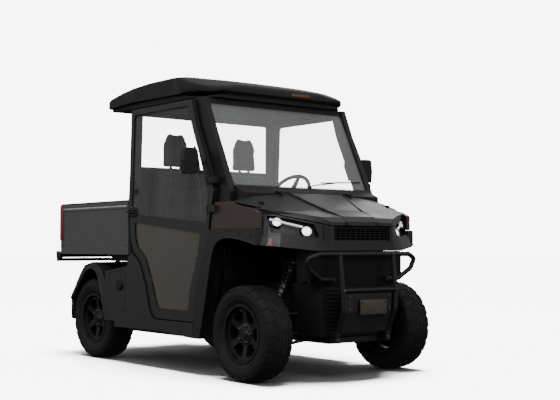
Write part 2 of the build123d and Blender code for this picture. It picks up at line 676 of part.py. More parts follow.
def cab_frame():
    """Both cab sides, each one pressed frame round its door opening, with the headers between them."""
    side = side_slab(CAB_SIDE, CAB_IN, PILLAR_X) - side_slab(inset(DOOR_SIDE, JAMB), CAB_IN, PILLAR_X, 22)
    side += door_bracket(DOOR_HINGES_Z[1], PILLAR_X)
    frame = both_sides(side)
    frame += block(-CAB_IN, CAB_IN, FRONT_AXLE_Y + 535, FRONT_AXLE_Y + 590, HEADER_Z, ROOF_UNDER)
    frame += block(-CAB_IN, CAB_IN, BED_FRONT - 58, CAB_REAR, HEADER_Z - 5, ROOF_UNDER)
    return frame + block(-CAB_IN, CAB_IN, BED_FRONT - 58, CAB_REAR, 1500, 1545)


def seat_riser():
    """The hollow bench that carries both seats, its front face leaning back."""
    side = [(REAR_AXLE_Y - 997, FLOOR_Z + FLOOR_T), (REAR_AXLE_Y - 1027, SEAT_Z),
        (REAR_AXLE_Y - 637, SEAT_Z),
            (REAR_AXLE_Y - 637, FLOOR_Z + FLOOR_T)]
    shape = side_slab(side, -CAB_IN, CAB_IN) - side_slab(inset(side, 5), -CAB_IN + 5, CAB_IN - 5)
    for x in (-SEAT_X, SEAT_X):
        shape += block(x - 190, x + 190, REAR_AXLE_Y - 1033, REAR_AXLE_Y - 1018, 500, 640) & side_slab(
            [(y - 6, z) for y, z in side], -CAB_IN, CAB_IN)
    return shape


def windscreen():
    top, foot = (FRONT_AXLE_Y + 534, HEADER_Z), (FRONT_AXLE_Y + 238, WINDOW_SILL_Z)
    glass = [top, (top[0] + GLASS_T, top[1]), (foot[0] + GLASS_T, foot[1]), foot]
    return side_slab(glass, -CAB_IN, CAB_IN)


def rear_window():
    return block(-CAB_IN, CAB_IN, BED_FRONT - 37, BED_FRONT - 37 + GLASS_T, 1545, HEADER_Z - 5)


def roof():
    """The moulded roof: a crowned lid with a brow over the windscreen and rounded corners."""
    side = from_rear([(-517, 2024), (-237, 2062), (-254, 2088), (-381, 2118), (-568, 2166), (-866, 2189)])
    side += from_front([(924, 2190), (816, 2186), (657, 2150), (515, 2116), (471, 2096), (467, 2040),
        (495, ROOF_UNDER)])
    side += from_rear([(-565, ROOF_UNDER)])
    front_y, shoulder_y = FRONT_AXLE_Y + 435, FRONT_AXLE_Y + 655
    rear_y, hip_y = REAR_AXLE_Y - 217, REAR_AXLE_Y - 377
    plan = [(ROOF_X - 60, front_y), (ROOF_X, shoulder_y), (ROOF_X, hip_y), (ROOF_X - 60, rear_y)]
    half = [(ROOF_X, 1985), (ROOF_X, 2088), (ROOF_X - 30, 2130), (ROOF_X - 220, 2178), (260, 2193)]
    shape = side_slab(side, -ROOF_X, ROOF_X) & plan_slab(both_halves(plan), 1980, 2200, 40)
    return shape & front_slab(both_halves(half), front_y - 10, rear_y + 10, 24)


def dashboard():
    """The dash with a binnacle ahead of the driver and a recessed glovebox."""
    side = from_front([(329, 1010), (329, 1228), (345, 1228), (435, 1245), (525, 1215), (545, 1120),
        (495, 1010)])
    shape = side_slab(side, -CAB_IN, CAB_IN, 10)
    hood_side = from_front([(400, 1200), (400, 1275), (520, 1262), (532, 1200)])
    shape += side_slab(hood_side, DRIVER_X - 120, DRIVER_X + 120, 12)
    face = from_front([(541, 1200), (600, 1200), (600, 1040), (494, 1040)])
    recess = side_slab([(y - 5, z) for y, z in face], -560, -200)
    return shape - recess


def column_plane(distance):
    """A plane across the steering column, a distance below the steering wheel."""
    up = (0, cos(radians(COLUMN_TILT)), sin(radians(COLUMN_TILT)))
    origin = (DRIVER_X, WHEEL_CENTRE_Y - up[1] * distance, WHEEL_CENTRE_Z - up[2] * distance)
    return Plane(origin=origin, z_dir=up, x_dir=(1, 0, 0))


def steering_column():
    """The column's cover, and its shaft up into the steering wheel's hub."""
    shape = column_plane(380) * extrude(Circle(COLUMN_SHAFT_R), 380 - HUB_DEPTH + 16)
    shape += column_plane(330) * extrude(Circle(42), 240, taper=2)
    return shape - dashboard()


def steering_wheel():
    """A ring on three spokes round a padded hub."""
    ring = revolve(Plane.XZ * Pos(WHEEL_R, 0) * Circle(WHEEL_GRIP_R), Axis.Z)
    wheel = ring + Pos(0, 0, -HUB_DEPTH) * extrude(Circle(52), HUB_DEPTH + 8, taper=8)
    for turn in (0, 180, 270):
        spoke = extrude(Polygon((30, -26), (WHEEL_R, -13), (WHEEL_R, 13), (30, 26), align=None), 9)
        wheel += Rot(0, 0, turn) * Pos(0, 0, -10) * spoke
    wheel -= Pos(0, 0, -HUB_DEPTH) * extrude(Circle(COLUMN_SHAFT_R + RUNNING_CLEARANCE), 18)
    return column_plane(0) * wheel


def cab_controls():
    """Two hanging pedals and the gear lever."""
    shape = None
    for x, width in ((DRIVER_X - 60, 44), (DRIVER_X + 60, 30)):
        arm_y = FRONT_AXLE_Y + 500
        arm = bent_tube([(x, arm_y, 1010), (x, arm_y - 60, 760), (x, arm_y - 60, 560)], 7, 60)
        pad = Pos(x, arm_y - 46, 548) * Rot(24, 0, 0) * Box(width * 2, 10, 86)
        shape = arm + pad if shape is None else shape + arm + pad
    lever_foot, lever_top = (60, FRONT_AXLE_Y + 541, 1140), (60, FRONT_AXLE_Y + 612, 1222)
    lever = rod(lever_foot, lever_top, 7) + Pos(*lever_top) * Sphere(20)
    gate = block(20, 100, FRONT_AXLE_Y + 520, FRONT_AXLE_Y + 549, 1095, 1165) - dashboard()
    return shape + (lever - dashboard()) + gate


def seats(side_points, half_width, corner):
    """The same side outline as a pad at each seat, its corners rounded."""
    pads = [side_slab(side_points, x - half_width, x + half_width, corner) for x in (-SEAT_X, SEAT_X)]
    return pads[0] + pads[1]


def seat_cushions():
    return seats(from_rear([(-1047, SEAT_Z), (-1067, 880), (-997, 915), (-747, 880), (-747, SEAT_Z)]),
        265, 16)


def seat_backs():
    return seats(from_rear([(-739, SEAT_Z), (-637, SEAT_Z), (-619, 1500), (-640, 1545), (-700, 1545),
        (-741, 1300)]), 250, 14)


def headrests():
    """A rounded pad over each back, on two posts."""
    pads = seats(from_rear([(-709, 1620), (-701, 1790), (-675, 1822), (-637, 1800), (-623, 1620),
        (-640, 1575),
                            (-697, 1575)]), 150, 12)
    for x in (-SEAT_X, SEAT_X):
        for side in (-1, 1):
            post = x + side * 70
            pads += rod((post, REAR_AXLE_Y - 668, 1545), (post, REAR_AXLE_Y - 668, 1600), 7)
    return pads


# ---------------------------------------------------------------- doors
def door_frame():
    """The left door: one pressing round its window and its lower pane, with hinge leaves and a handle."""
    door = side_slab(DOOR_SIDE, DOOR_IN, DOOR_OUT, 12)
    door -= side_slab(DOOR_WINDOW, DOOR_IN, DOOR_OUT, 22)
    door -= side_slab(DOOR_PANE, DOOR_IN, DOOR_OUT, 20)
    for z in DOOR_HINGES_Z:
        leaf_front = DOOR_AXIS_Y + 23
        door += block(DOOR_OUT, DOOR_OUT + 6, leaf_front, leaf_front + 68, z - 20, z + 20)
        door += block(DOOR_OUT + 2, DOOR_AXIS_X, DOOR_AXIS_Y, leaf_front + 20, z - BARREL_HALF + 1,
            z + BARREL_HALF - 1)
        door += rod((DOOR_AXIS_X, DOOR_AXIS_Y, z - BARREL_HALF),
            (DOOR_AXIS_X, DOOR_AXIS_Y, z + BARREL_HALF), BARREL_R)
        door -= rod((DOOR_AXIS_X, DOOR_AXIS_Y, z - 30), (DOOR_AXIS_X, DOOR_AXIS_Y, z + 30),
            HINGE_PIN_R + RUNNING_CLEARANCE)
    handle_y = REAR_AXLE_Y - 700
    door += block(DOOR_OUT, DOOR_OUT + 8, handle_y, handle_y + 110, 1150, 1215)
    grip = [(DOOR_OUT + 8, 1196), (DOOR_OUT + 34, 1190), (DOOR_OUT + 34, 1180), (DOOR_OUT + 8, 1172)]
    return door + front_slab(grip, handle_y + 8, handle_y + 102)


def door_glass():
    return side_slab(DOOR_WINDOW, PANE_X, PANE_X + GLASS_T, 22)


def door_pane():
    return side_slab(DOOR_PANE, PANE_X, PANE_X + GLASS_T, 20)


def mirror_head():
    """The left rear-view mirror on its sail plate and arm."""
    sail = side_slab(from_front([(495, 1440), (535, 1440), (590, 1560), (575, 1640), (535, 1600)]),
        DOOR_OUT, DOOR_OUT + 8)
    arm = bent_tube([(DOOR_OUT + 6, FRONT_AXLE_Y + 535, 1520), (DOOR_OUT + 45, FRONT_AXLE_Y + 525, 1520),
                     (DOOR_OUT + 80, FRONT_AXLE_Y + 485, 1520)], 11, 18)
    shell = [(800, 1428), (902, 1428), (912, 1520), (900, 1612), (806, 1612), (792, 1520)]
    head = front_slab(shell, FRONT_AXLE_Y + 445, FRONT_AXLE_Y + 493, 16)
    return sail + arm + head - front_slab(inset(shell, 9), FRONT_AXLE_Y + 489, FRONT_AXLE_Y + 500, 10)


# ---------------------------------------------------------------- nose and side panels
def nose(shrink):
    """The nose volume, its faces raked back and its corners rounded, shrunk by a distance."""
    sections = []
    for half, z in ((NOSE_LOW, NOSE_LOW_Z), (NOSE_HIGH, NOSE_HIGH_Z)):
        points = [(x, FRONT_AXLE_Y + y) for x, y in half]
        corner = max(0.0, NOSE_ROUND - shrink)
        sections.append(Plane.XY.offset(z) * outline(inset(both_halves(points), shrink), corner))
    top = sections[1]
    return loft(sections, ruled=True) + extrude(top, 190)


def crown(row, drop):
    """The hood's cross section at one row of its table."""
    y, side_z, shoulder_z, crease_z, middle_z, middle_x = row
    half = [(middle_x, middle_z - drop), (middle_x + 7, crease_z - drop), (560, shoulder_z - drop),
            (NOSE_HALF_X, side_z - drop), (NOSE_HALF_X, NOSE_LOW_Z)]
    return Plane.XZ.offset(-FRONT_AXLE_Y - y) * outline(both_halves(half))


def hood():
    """The hinged hood: a thin shell with turned-down edges and a raised middle that narrows to the front."""
    edge_top = 1400
    above = side_slab(HOOD_LINE + [(HOOD_REAR, edge_top), (HOOD_LINE[0][0], edge_top)], -NOSE_HALF_X,
        NOSE_HALF_X)
    lower = [(y, z - 60) for y, z in HOOD_LINE]
    room = side_slab(lower + [(HOOD_REAR - HOOD_SHELL, edge_top), (lower[0][0], edge_top)],
        -NOSE_HALF_X, NOSE_HALF_X)
    skin = loft([crown(row, 0) for row in HOOD_ROWS], ruled=True) & nose(0) & above
    inside = loft([crown(row, HOOD_SHELL) for row in HOOD_ROWS], ruled=True) & nose(HOOD_SHELL) & room
    lid = skin - inside
    hinge = rod((HOOD_HINGE_X - 12, HOOD_AXIS_Y, HOOD_AXIS_Z), (HOOD_HINGE_X + 12, HOOD_AXIS_Y,
        HOOD_AXIS_Z), BARREL_R)
    low, high = HOOD_HINGE_X - 12, HOOD_HINGE_X + 12
    hinge += block(low, high, HOOD_REAR - 34, HOOD_REAR, HOOD_AXIS_Z - 24, HOOD_AXIS_Z - 1)
    hinge += block(low, high, HOOD_REAR, HOOD_AXIS_Y, HOOD_AXIS_Z - 8, HOOD_AXIS_Z - 1)
    hinge -= rod((0, HOOD_AXIS_Y, HOOD_AXIS_Z), (800, HOOD_AXIS_Y, HOOD_AXIS_Z),
        HINGE_PIN_R + RUNNING_CLEARANCE)
    return lid + both_sides(hinge)


def under_hood():
    """What lies below the hood's lower edge, less the hood's gap."""
    line = [(y, z - HOOD_GAP) for y, z in HOOD_LINE]
    return side_slab(line + [(HOOD_REAR, 800), (line[0][0], 800)], -800, 800)


def fascia():
    """The bumper band under the lamps, with a post each side of the grille."""
    front_y, rear_y = FRONT_AXLE_Y - 425, FRONT_AXLE_Y - 105
    post_out = GRILLE_X + GRILLE_POST
    half = [(400, NOSE_LOW_Z), (735, 925), (735, 1000), (640, 985), (post_out, GRILLE_LOW_Z + 2),
        (GRILLE_X, GRILLE_LOW_Z)]
    band = front_slab(both_halves(half), front_y, rear_y)
    posts = both_sides(block(GRILLE_X, post_out, front_y, rear_y, GRILLE_LOW_Z - 10, 1120))
    ring = nose(0) - nose(BUMPER_DEPTH)
    shape = (band + posts) & ring & under_hood() & block(-800, 800, front_y - 40, NOSE_CUT_Y, 800, 1400)
    return shape - both_sides(block(*TURN_LAMP))


def headlamp():
    """The left lamp housing: a deep surround, its pocket and two round lenses in their bezels."""
    front_y, rear_y = FRONT_AXLE_Y - 425, FRONT_AXLE_Y - 80
    post_out = GRILLE_X + GRILLE_POST
    shape = [(post_out, 952), (640, 985), (735, 1000), (735, 1200), (post_out, 1200)]
    room = block(300, PILLAR_X - 2, front_y - 40, rear_y, 900, 1250) + block(300, 800, front_y - 40,
        NOSE_CUT_Y, 900, 1250)
    body = front_slab(shape, front_y, rear_y) & room & (nose(LAMP_INSET) - nose(LAMP_DEPTH)) & under_hood()
    pocket = front_slab([(360, 972), (640, 1006), (640, 1120), (600, 1120), (380, 1062)], front_y,
        rear_y, 10)
    body -= pocket & (nose(0) - nose(LAMP_POCKET))
    for x, z, radius, back in LENSES:
        bowl = rod((x, front_y, z), (x, FRONT_AXLE_Y + back, z), radius)
        bezel = bowl - rod((x, front_y, z), (x, FRONT_AXLE_Y + back, z), radius - 5)
        body += bezel & nose(16)
        body += bowl & nose(30)
    return body


def grille():
    """Slanting slats and thin uprights in a frame between the posts."""
    front_y, rear_y = FRONT_AXLE_Y - 391, FRONT_AXLE_Y - 365
    wall = 10
    opening = GRILLE_X - wall
    shape = block(-GRILLE_X, GRILLE_X, front_y, rear_y, GRILLE_LOW_Z, GRILLE_HIGH_Z)
    shape -= block(-opening, opening, front_y, rear_y, GRILLE_LOW_Z + wall, GRILLE_HIGH_Z - wall)
    for row in range(4):
        z = GRILLE_LOW_Z + 24 + row * 17
        shape += side_slab([(front_y + 4, z), (front_y + 4, z + 4), (rear_y, z + 10), (rear_y, z + 6)],
            -opening, opening)
    for column in range(-5, 6):
        x = column * 46
        shape += block(x - 3, x + 3, front_y + 8, rear_y, GRILLE_LOW_Z + wall, GRILLE_HIGH_Z - wall)
    return shape


def fender():
    """The left front fender: a pressed arch band running down to the sill, and the liner over the tyre."""
    liner = block(RAIL_IN, SKIN_X - SKIN_T, FRONT_AXLE_Y - 305, FRONT_AXLE_Y + 315, LINER_Z,
        LINER_Z + LINER_T)
    liner -= block(300, SKIN_X, FRONT_AXLE_Y - 465, FRONT_AXLE_Y - 65, LINER_Z - 1, LINER_Z + LINER_T + 1)
    return panel(FENDER, PILLAR_X, SKIN_X, SKIN_T) + liner


def cowl_side():
    """The flat panel above the left arch, with the lower door hinge's bracket."""
    return panel(COWL_SIDE, PILLAR_X, COWL_SKIN_X, SKIN_T) + door_bracket(DOOR_HINGES_Z[0], COWL_SKIN_X)


def turn_lamp():
    return block(*TURN_LAMP) & (nose(-4) - nose(14))


def sill():
    """The left sill and the box behind the door, up to the rear arch."""
    lid = from_rear([(-560, 735), (-300, 703), (-300, 560), (-372, 400), (-560, 400)])
    press = side_slab(lid, SKIN_X - 3, SKIN_X + 1, 24)
    press -= side_slab(inset(lid, 5), SKIN_X - 3, SKIN_X + 1, 19)
    return panel(SILL, PILLAR_X, SKIN_X, SKIN_T) - press


def rear_fender():
    """The left rear mudguard: the arch band, the wall over the tyre and two stays to the frame."""
    outer = from_rear_wheel(list(reversed(BOX_EDGE)) + ARCH_OUTER)
    band = side_slab(outer + from_rear_wheel(ARCH_INNER), SKIN_X - SKIN_T, SKIN_X)
    hollow = from_rear_wheel([(353, -4)])
    wall = side_slab(outer + hollow, 500, SKIN_X - SKIN_T)
    wall -= side_slab(inset(outer + hollow, SKIN_T), 500, SKIN_X - SKIN_T)
    wall -= side_slab(from_rear_wheel([(-378, -30), (-378, 2), (0, 2), (335, 144), (346, 150),
        (400, 150), (400, -30)]),
                      500, SKIN_X - SKIN_T)
    shape = band + wall
    for offset in (-110, 105):
        y = REAR_AXLE_Y + offset
        shape += rod((RAIL_OUT, y, TYRE_R + 426), (560, y, TYRE_R + 426), 8)
    return shape


# ---------------------------------------------------------------- guard at the front
def brush_guard():
    """Two uprights, a top tube whose ends sweep back, a cross tube and two feet on the frame."""
    low, middle, top = (RAIL_X, GUARD_Y + 81, 310), (GUARD_X, GUARD_Y, 610), (GUARD_X + 2, GUARD_Y + 26, 850)
    upright_tube = bent_tube([low, (GUARD_X - 8, GUARD_Y, 480), middle, top], GUARD_TUBE_R, 60)
    wing_line = [(0, GUARD_Y + 28, 862), (415, GUARD_Y + 36, 862), (508, GUARD_Y + 70, 830),
        (476, GUARD_Y + 80, 760),
                 (364, GUARD_Y + 92, 692), (GUARD_X + 7, GUARD_Y + 100, 690)]
    wing = bent_tube(wing_line, GUARD_TUBE_R, 30)
    cross = rod((-GUARD_X, GUARD_Y, 618), (GUARD_X, GUARD_Y, 618), GUARD_TUBE_R - 3)
    feet = both_sides(block(RAIL_IN, RAIL_OUT, GUARD_Y + 64, FRAME_FRONT, FRAME_Z + 7, 345))
    stay = block(GUARD_X - 10, GUARD_X + 10, GUARD_Y + 84, FRAME_FRONT, 676, 704)
    return both_sides(upright_tube + wing + stay) + cross + feet


def guard_panel():
    """The bent skid plate between the uprights, with three pressed ribs."""
    line = [(11, 602), (5, 590), (13, 470), (64, 330), (119, 300), (119, 306), (69, 335), (19, 472),
        (11, 590)]
    side = [(GUARD_Y + y, z) for y, z in line]
    shape = side_slab(side, -RAIL_IN, RAIL_IN)
    for x in (-120, 0, 120):
        shape += side_slab([(GUARD_Y + 9, 590), (GUARD_Y + 2, 586), (GUARD_Y + 9, 474),
            (GUARD_Y + 16, 470)], x - 12, x + 12)
    return shape


def radiator():
    """The core between its two tanks, on the frame's cross member."""
    front_y = FRAME_FRONT + 10
    shape = block(-170, 170, front_y + 8, front_y + 48, 560 + RAIL_H, 900)
    for x in (-195, 165):
        shape += block(x, x + 30, front_y, front_y + 60, 560 + RAIL_H, 900)
    shape += block(-170, 170, front_y, front_y + 8, 740, 752) + block(-170, 170, front_y, front_y + 8,
        780, 792)
    return shape


# ---------------------------------------------------------------- bed
def cargo_bed():
    """The tipping bed: floor, front wall, sides with pressed fields, runners and lift ears."""
    inner = BED_X - BED_WALL
    bed = block(-BED_X, BED_X, BED_FRONT, BED_REAR, BED_FLOOR_Z, BED_TOP_Z)
    bed -= block(-inner, inner, BED_FRONT + BED_WALL, BED_REAR, BED_FLOOR_TOP, BED_TOP_Z)
    field = block(BED_X - PRESSING, BED_X, BED_FRONT + 24, BED_REAR - 40, 905, 1214)
    lower = block(BED_X - PRESSING, BED_X, BED_FRONT + 24, BED_REAR - 40, 1226, 1244)
    bed -= both_sides(field + lower)
    runner = block(RAIL_OUT + 20, RAIL_OUT + 50, BED_FRONT + 40, BED_HINGE_Y + 30, BED_HINGE_Z - 19,
        BED_FLOOR_Z)
    hole = rod((0, BED_HINGE_Y, BED_HINGE_Z), (400, BED_HINGE_Y, BED_HINGE_Z),
        LIFT_PIN_R + RUNNING_CLEARANCE)
    ear = block(LIFT_EAR_X - LIFT_EAR_T / 2, LIFT_EAR_X + LIFT_EAR_T / 2, LIFT_EYE_Y - 20, LIFT_EYE_Y + 20,
                LIFT_EYE_Z - 12, BED_FLOOR_Z)
    bed += both_sides(runner - hole + ear)
    for y in (BED_FRONT + 120, BED_FRONT + 420, BED_FRONT + 1050):
        bed += block(-RAIL_OUT - 20, RAIL_OUT + 20, y, y + 50, BED_FLOOR_Z - 22, BED_FLOOR_Z)
    hinge_x = inner - 190
    lug = block(hinge_x - 26, hinge_x - 14, BED_REAR, GATE_AXIS_Y + 9, GATE_AXIS_Z - 9, GATE_AXIS_Z + 12)
    pin = rod((hinge_x - 26, GATE_AXIS_Y, GATE_AXIS_Z), (hinge_x + 10, GATE_AXIS_Y, GATE_AXIS_Z),
        HINGE_PIN_R)
    return bed + both_sides(lug + pin)


def tailgate():
    """The drop tailgate with a pressed field and two hinge straps."""
    inner = BED_X - BED_WALL
    half = inner - PANEL_GAP
    low = BED_FLOOR_TOP + PANEL_GAP
    gate = block(-half, half, BED_REAR - GATE_T, BED_REAR, low, BED_TOP_Z - 4)
    for x_low, x_high in ((-half + 40, -170), (-140, 140), (170, half - 40)):
        gate -= block(x_low, x_high, BED_REAR - PRESSING, BED_REAR, low + 40, BED_TOP_Z - 50)
    hinge_x = inner - 190
    strap = block(hinge_x - 10, hinge_x + 10, BED_REAR, BED_REAR + 7, low + 4, low + 60)
    strap += block(hinge_x - 10, hinge_x + 10, BED_REAR + 3, GATE_AXIS_Y + 4, GATE_AXIS_Z, low + 20)
    strap += rod((hinge_x - 10, GATE_AXIS_Y, GATE_AXIS_Z), (hinge_x + 10, GATE_AXIS_Y, GATE_AXIS_Z), 9)
    strap -= rod((hinge_x - 20, GATE_AXIS_Y, GATE_AXIS_Z), (hinge_x + 20, GATE_AXIS_Y, GATE_AXIS_Z),
                 HINGE_PIN_R + RUNNING_CLEARANCE)
    return gate + both_sides(strap)


def bed_rear_bar():
    """The bumper bar under the tailgate, on two end brackets."""
    bar = rod((-700, BED_REAR + 70, 800), (700, BED_REAR + 70, 800), 14)
    end = side_slab([(BED_REAR, 852), (BED_REAR + 94, 876), (BED_REAR + 94, 858), (BED_REAR + 84, 786),
        (BED_REAR + 58, 786)],
                    BED_X - BED_WALL + 4, BED_X - 4)
    end += block(BED_X - BED_WALL + 4, BED_X - 4, BED_REAR, BED_REAR + 10, 850, 890)
    return bar + both_sides(end)


def tail_lamps():
    return both_sides(block(BED_X - BED_WALL + 2, BED_X - 4, BED_REAR, BED_REAR + 10, 900, 1272))


def lift_axis():
    return Vector(0, LIFT_EYE_Y - LIFT_FOOT_Y, LIFT_EYE_Z - LIFT_FOOT_Z)


def lift_plane():
    return Plane(origin=(0, LIFT_FOOT_Y, LIFT_FOOT_Z), z_dir=lift_axis(), x_dir=(1, 0, 0))


def lift_cylinder():
    length = lift_axis().length
    body = lift_plane() * (Pos(0, 0, 50) * extrude(Circle(CYLINDER_R), length - 138))
    body += lift_plane() * extrude(Rectangle(24, 30), 52)
    body -= lift_plane() * (Pos(0, 0, 58) * extrude(Circle(ROD_R + 0.5), length))
    eye = rod((-15, LIFT_FOOT_Y, LIFT_FOOT_Z), (15, LIFT_FOOT_Y, LIFT_FOOT_Z), 24)
    hole = rod((-20, LIFT_FOOT_Y, LIFT_FOOT_Z), (20, LIFT_FOOT_Y, LIFT_FOOT_Z), LIFT_PIN_R + 0.5)
    return body + eye - hole


def lift_rod():
    length = lift_axis().length
    body = lift_plane() * (Pos(0, 0, 60) * extrude(Circle(ROD_R), length - 60))
    return body + rod((-15, LIFT_EYE_Y, LIFT_EYE_Z), (15, LIFT_EYE_Y, LIFT_EYE_Z), 20)


# ---------------------------------------------------------------- the pieces
def wishbones():
    """All eight wishbones; the front ones leave a gap to the knuckles that steer."""
    front = arms(FRONT_HALF_TRACK, FRONT_AXLE_Y, EYE_GAP)
    rear = arms(REAR_HALF_TRACK, REAR_AXLE_Y, 0.0)
    shape = both_sides(front[0])
    for arm in front[1:] + rear:
        shape += both_sides(arm)
    return shape


NODES = {
    "chassis_frame": chassis_frame(),
    "hitch_receiver": hitch_receiver(),
    "engine": engine(),
    "driveline": driveline(),
    "rack_housing": rack_housing(),
    "wishbones": wishbones(),
    "shocks": both_sides(shock(FRONT_HALF_TRACK, FRONT_AXLE_Y, FRONT_SHOCK_Z)) + both_sides(
        shock(REAR_HALF_TRACK, REAR_AXLE_Y, REAR_SHOCK_Z)),
    "rear_knuckles": both_sides(Pos(0, REAR_AXLE_Y, 0) * upright(REAR_HALF_TRACK)),
    "tie_rods": tie_rods(),
    "radiator": radiator(),
    "cabin_tub": cabin_tub(),
    "cab_frame": cab_frame(),
    "cowl": cowl(),
    "dashboard": dashboard(),
    "cab_controls": cab_controls(),
    "seat_riser": seat_riser(),
    "windscreen": windscreen(),
    "rear_window": rear_window(),
    "roof": roof(),
    "seat_cushions": seat_cushions(),
    "seat_backs": seat_backs(),
    "headrests": headrests(),
    "steering_column": steering_column(),
    "steering_wheel": steering_wheel(),
    "hood": hood(),
    "fascia": fascia(),
    "grille": grille(),
    "headlamps": both_sides(headlamp()),
    "turn_lamps": both_sides(turn_lamp()),
    "front_fenders": both_sides(fender()),
    "cowl_sides": both_sides(cowl_side()),
    "sills": both_sides(sill()),
    "rear_fenders": both_sides(rear_fender()),
    "brush_guard": brush_guard(),
    "guard_panel": guard_panel(),
    "cargo_bed": cargo_bed(),
    "bed_rear_bar": bed_rear_bar(),
    "tail_lamps": tail_lamps(),
    "tailgate": tailgate(),
    "lift_cylinder": lift_cylinder(),
    "lift_rod": lift_rod(),
}
plain_tyre, plain_rim = tyre(), rim()
AXLES = (("front", FRONT_HALF_TRACK, FRONT_AXLE_Y), ("rear", REAR_HALF_TRACK, REAR_AXLE_Y))
SIDED = {"knuckle": front_knuckle(), "door_frame": door_frame(), "door_glass": door_glass(),
    "door_pane": door_pane(),
         "mirror": mirror_head()}
for side_name, side in (("left", 1), ("right", -1)):
    for name, shape in SIDED.items():
        NODES[name + "_" + side_name] = shape if side > 0 else other_side(shape)
    for end, half_track, axle_y in AXLES:
        NODES["tyre_" + end + "_" + side_name] = wheel_place(half_track, axle_y, side, plain_tyre)
        NODES["rim_" + end + "_" + side_name] = wheel_place(half_track, axle_y, side, plain_rim)

for name, shape in NODES.items():
    export_step(shape, "parts/" + name + ".step")
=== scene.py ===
# Looks of a side-by-side utility vehicle with a glazed cab and a tipping bed.
# Metres, +Z up, front towards -Y; sizes of pieces are in millimetres.
import json
import math

import bmesh
import bpy
from mathutils import Matrix, Vector


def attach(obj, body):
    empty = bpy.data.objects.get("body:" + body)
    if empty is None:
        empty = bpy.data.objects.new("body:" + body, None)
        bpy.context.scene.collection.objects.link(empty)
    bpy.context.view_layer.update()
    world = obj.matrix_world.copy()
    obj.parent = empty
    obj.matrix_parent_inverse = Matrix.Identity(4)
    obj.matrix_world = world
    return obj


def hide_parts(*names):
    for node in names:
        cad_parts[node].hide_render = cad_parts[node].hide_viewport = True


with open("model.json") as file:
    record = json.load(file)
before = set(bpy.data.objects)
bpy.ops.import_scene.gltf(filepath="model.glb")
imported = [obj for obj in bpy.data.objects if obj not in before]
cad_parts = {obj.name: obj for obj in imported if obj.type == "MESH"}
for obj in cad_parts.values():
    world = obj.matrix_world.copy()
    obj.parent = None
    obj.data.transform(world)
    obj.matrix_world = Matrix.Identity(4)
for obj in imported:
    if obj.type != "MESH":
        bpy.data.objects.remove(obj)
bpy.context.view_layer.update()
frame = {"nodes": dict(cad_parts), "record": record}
nodes = frame["nodes"]


# ------------------------------------------------------------------ shader writing
class Wire:
    """An output of a shader node; arithmetic on it adds Math nodes."""

    def __init__(self, finish, socket):
        self.finish = finish
        self.socket = socket

    def _math(self, operation, *terms):
        return self.finish.node("ShaderNodeMath", {"operation": operation}, dict(enumerate(terms)))

    def __add__(self, other):
        return self._math("ADD", self, other)

    def __radd__(self, other):
        return self._math("ADD", other, self)

    def __sub__(self, other):
        return self._math("SUBTRACT", self, other)

    def __rsub__(self, other):
        return self._math("SUBTRACT", other, self)

    def __mul__(self, other):
        return self._math("MULTIPLY", self, other)

    def __rmul__(self, other):
        return self._math("MULTIPLY", other, self)

    def sine(self):
        return self._math("SINE", self)

    def step(self, low, high):
        """0 below low, 1 above high, smooth between."""
        values = {"Value": self, "From Min": low, "From Max": high}
        return self.finish.node("ShaderNodeMapRange", {"interpolation_type": "SMOOTHSTEP"}, values)


class Finish:
    """A node material under construction, with one Principled shader."""

    def __init__(self, name, **fixed):
        self.material = bpy.data.materials.new(name)
        self.material.use_nodes = True
        self.tree = self.material.node_tree
        self.tree.nodes.clear()
        self.output = self.tree.nodes.new("ShaderNodeOutputMaterial")
        self.shader = self.tree.nodes.new("ShaderNodeBsdfPrincipled")
        self.tree.links.new(self.shader.outputs[0], self.output.inputs["Surface"])
        self.coords = self.node("ShaderNodeTexCoord", {}, {}, "Object")
        for key, value in fixed.items():
            self.set(key.replace("_", " "), value)

    def node(self, kind, settings, values, output=0):
        """A node of a kind, its settings first and then the values or links of its sockets."""
        made = self.tree.nodes.new(kind)
        for key, value in settings.items():
            if key == "stops":
                ramp = made.color_ramp.elements
                while len(ramp) < len(value):
                    ramp.new(0.5)
                for element, (place, colour) in zip(ramp, value):
                    element.position = place
                    element.color = (*colour, 1.0)
            else:
                setattr(made, key, value)
        for key, value in values.items():
            self.feed(made.inputs[key], value)
        return Wire(self, made.outputs[output])

    def feed(self, socket, value):
        """Links a wire to a socket, or sets a number or a colour on it."""
        if isinstance(value, Wire):
            self.tree.links.new(value.socket, socket)
        elif socket.type == "RGBA" and len(value) == 3:
            socket.default_value = (*value, 1.0)
        else:
            socket.default_value = value

    def set(self, name, value):
        self.feed(self.shader.inputs[name], value)
        return self

    def noise(self, scale, detail, rough=0.5, vector=None):
        values = {"Vector": vector or self.coords, "Scale": scale, "Detail": detail, "Roughness": rough}
        return self.node("ShaderNodeTexNoise", {}, values)

    def cells(self, scale, feature="F1"):
        """Distance within a pattern of cells."""
        values = {"Vector": self.coords, "Scale": scale}
        return self.node("ShaderNodeTexVoronoi", {"feature": feature}, values)

    def stretched(self, x, y, z):
        return self.node("ShaderNodeMapping", {}, {"Vector": self.coords, "Scale": (x, y, z)})

    def axis(self, letter):
        return self.node("ShaderNodeSeparateXYZ", {}, {0: self.coords}, "XYZ".index(letter))

    def blend(self, mask, low, high):
        """One colour or the other by a mask."""
        return self.node("ShaderNodeMix", {"data_type": "RGBA"}, {0: mask, 6: low, 7: high}, 2)

    def soft_edges(self, radius):
        """A normal that rolls over the edges, as on pressed and moulded parts."""
        return self.node("ShaderNodeBevel", {"samples": 4}, {"Radius": radius})

    def bump(self, height, strength, distance, under=None):
        values = {"Height": height, "Strength": strength, "Distance": distance}
        if under is not None:
            values["Normal"] = under
        return self.node("ShaderNodeBump", {}, values)


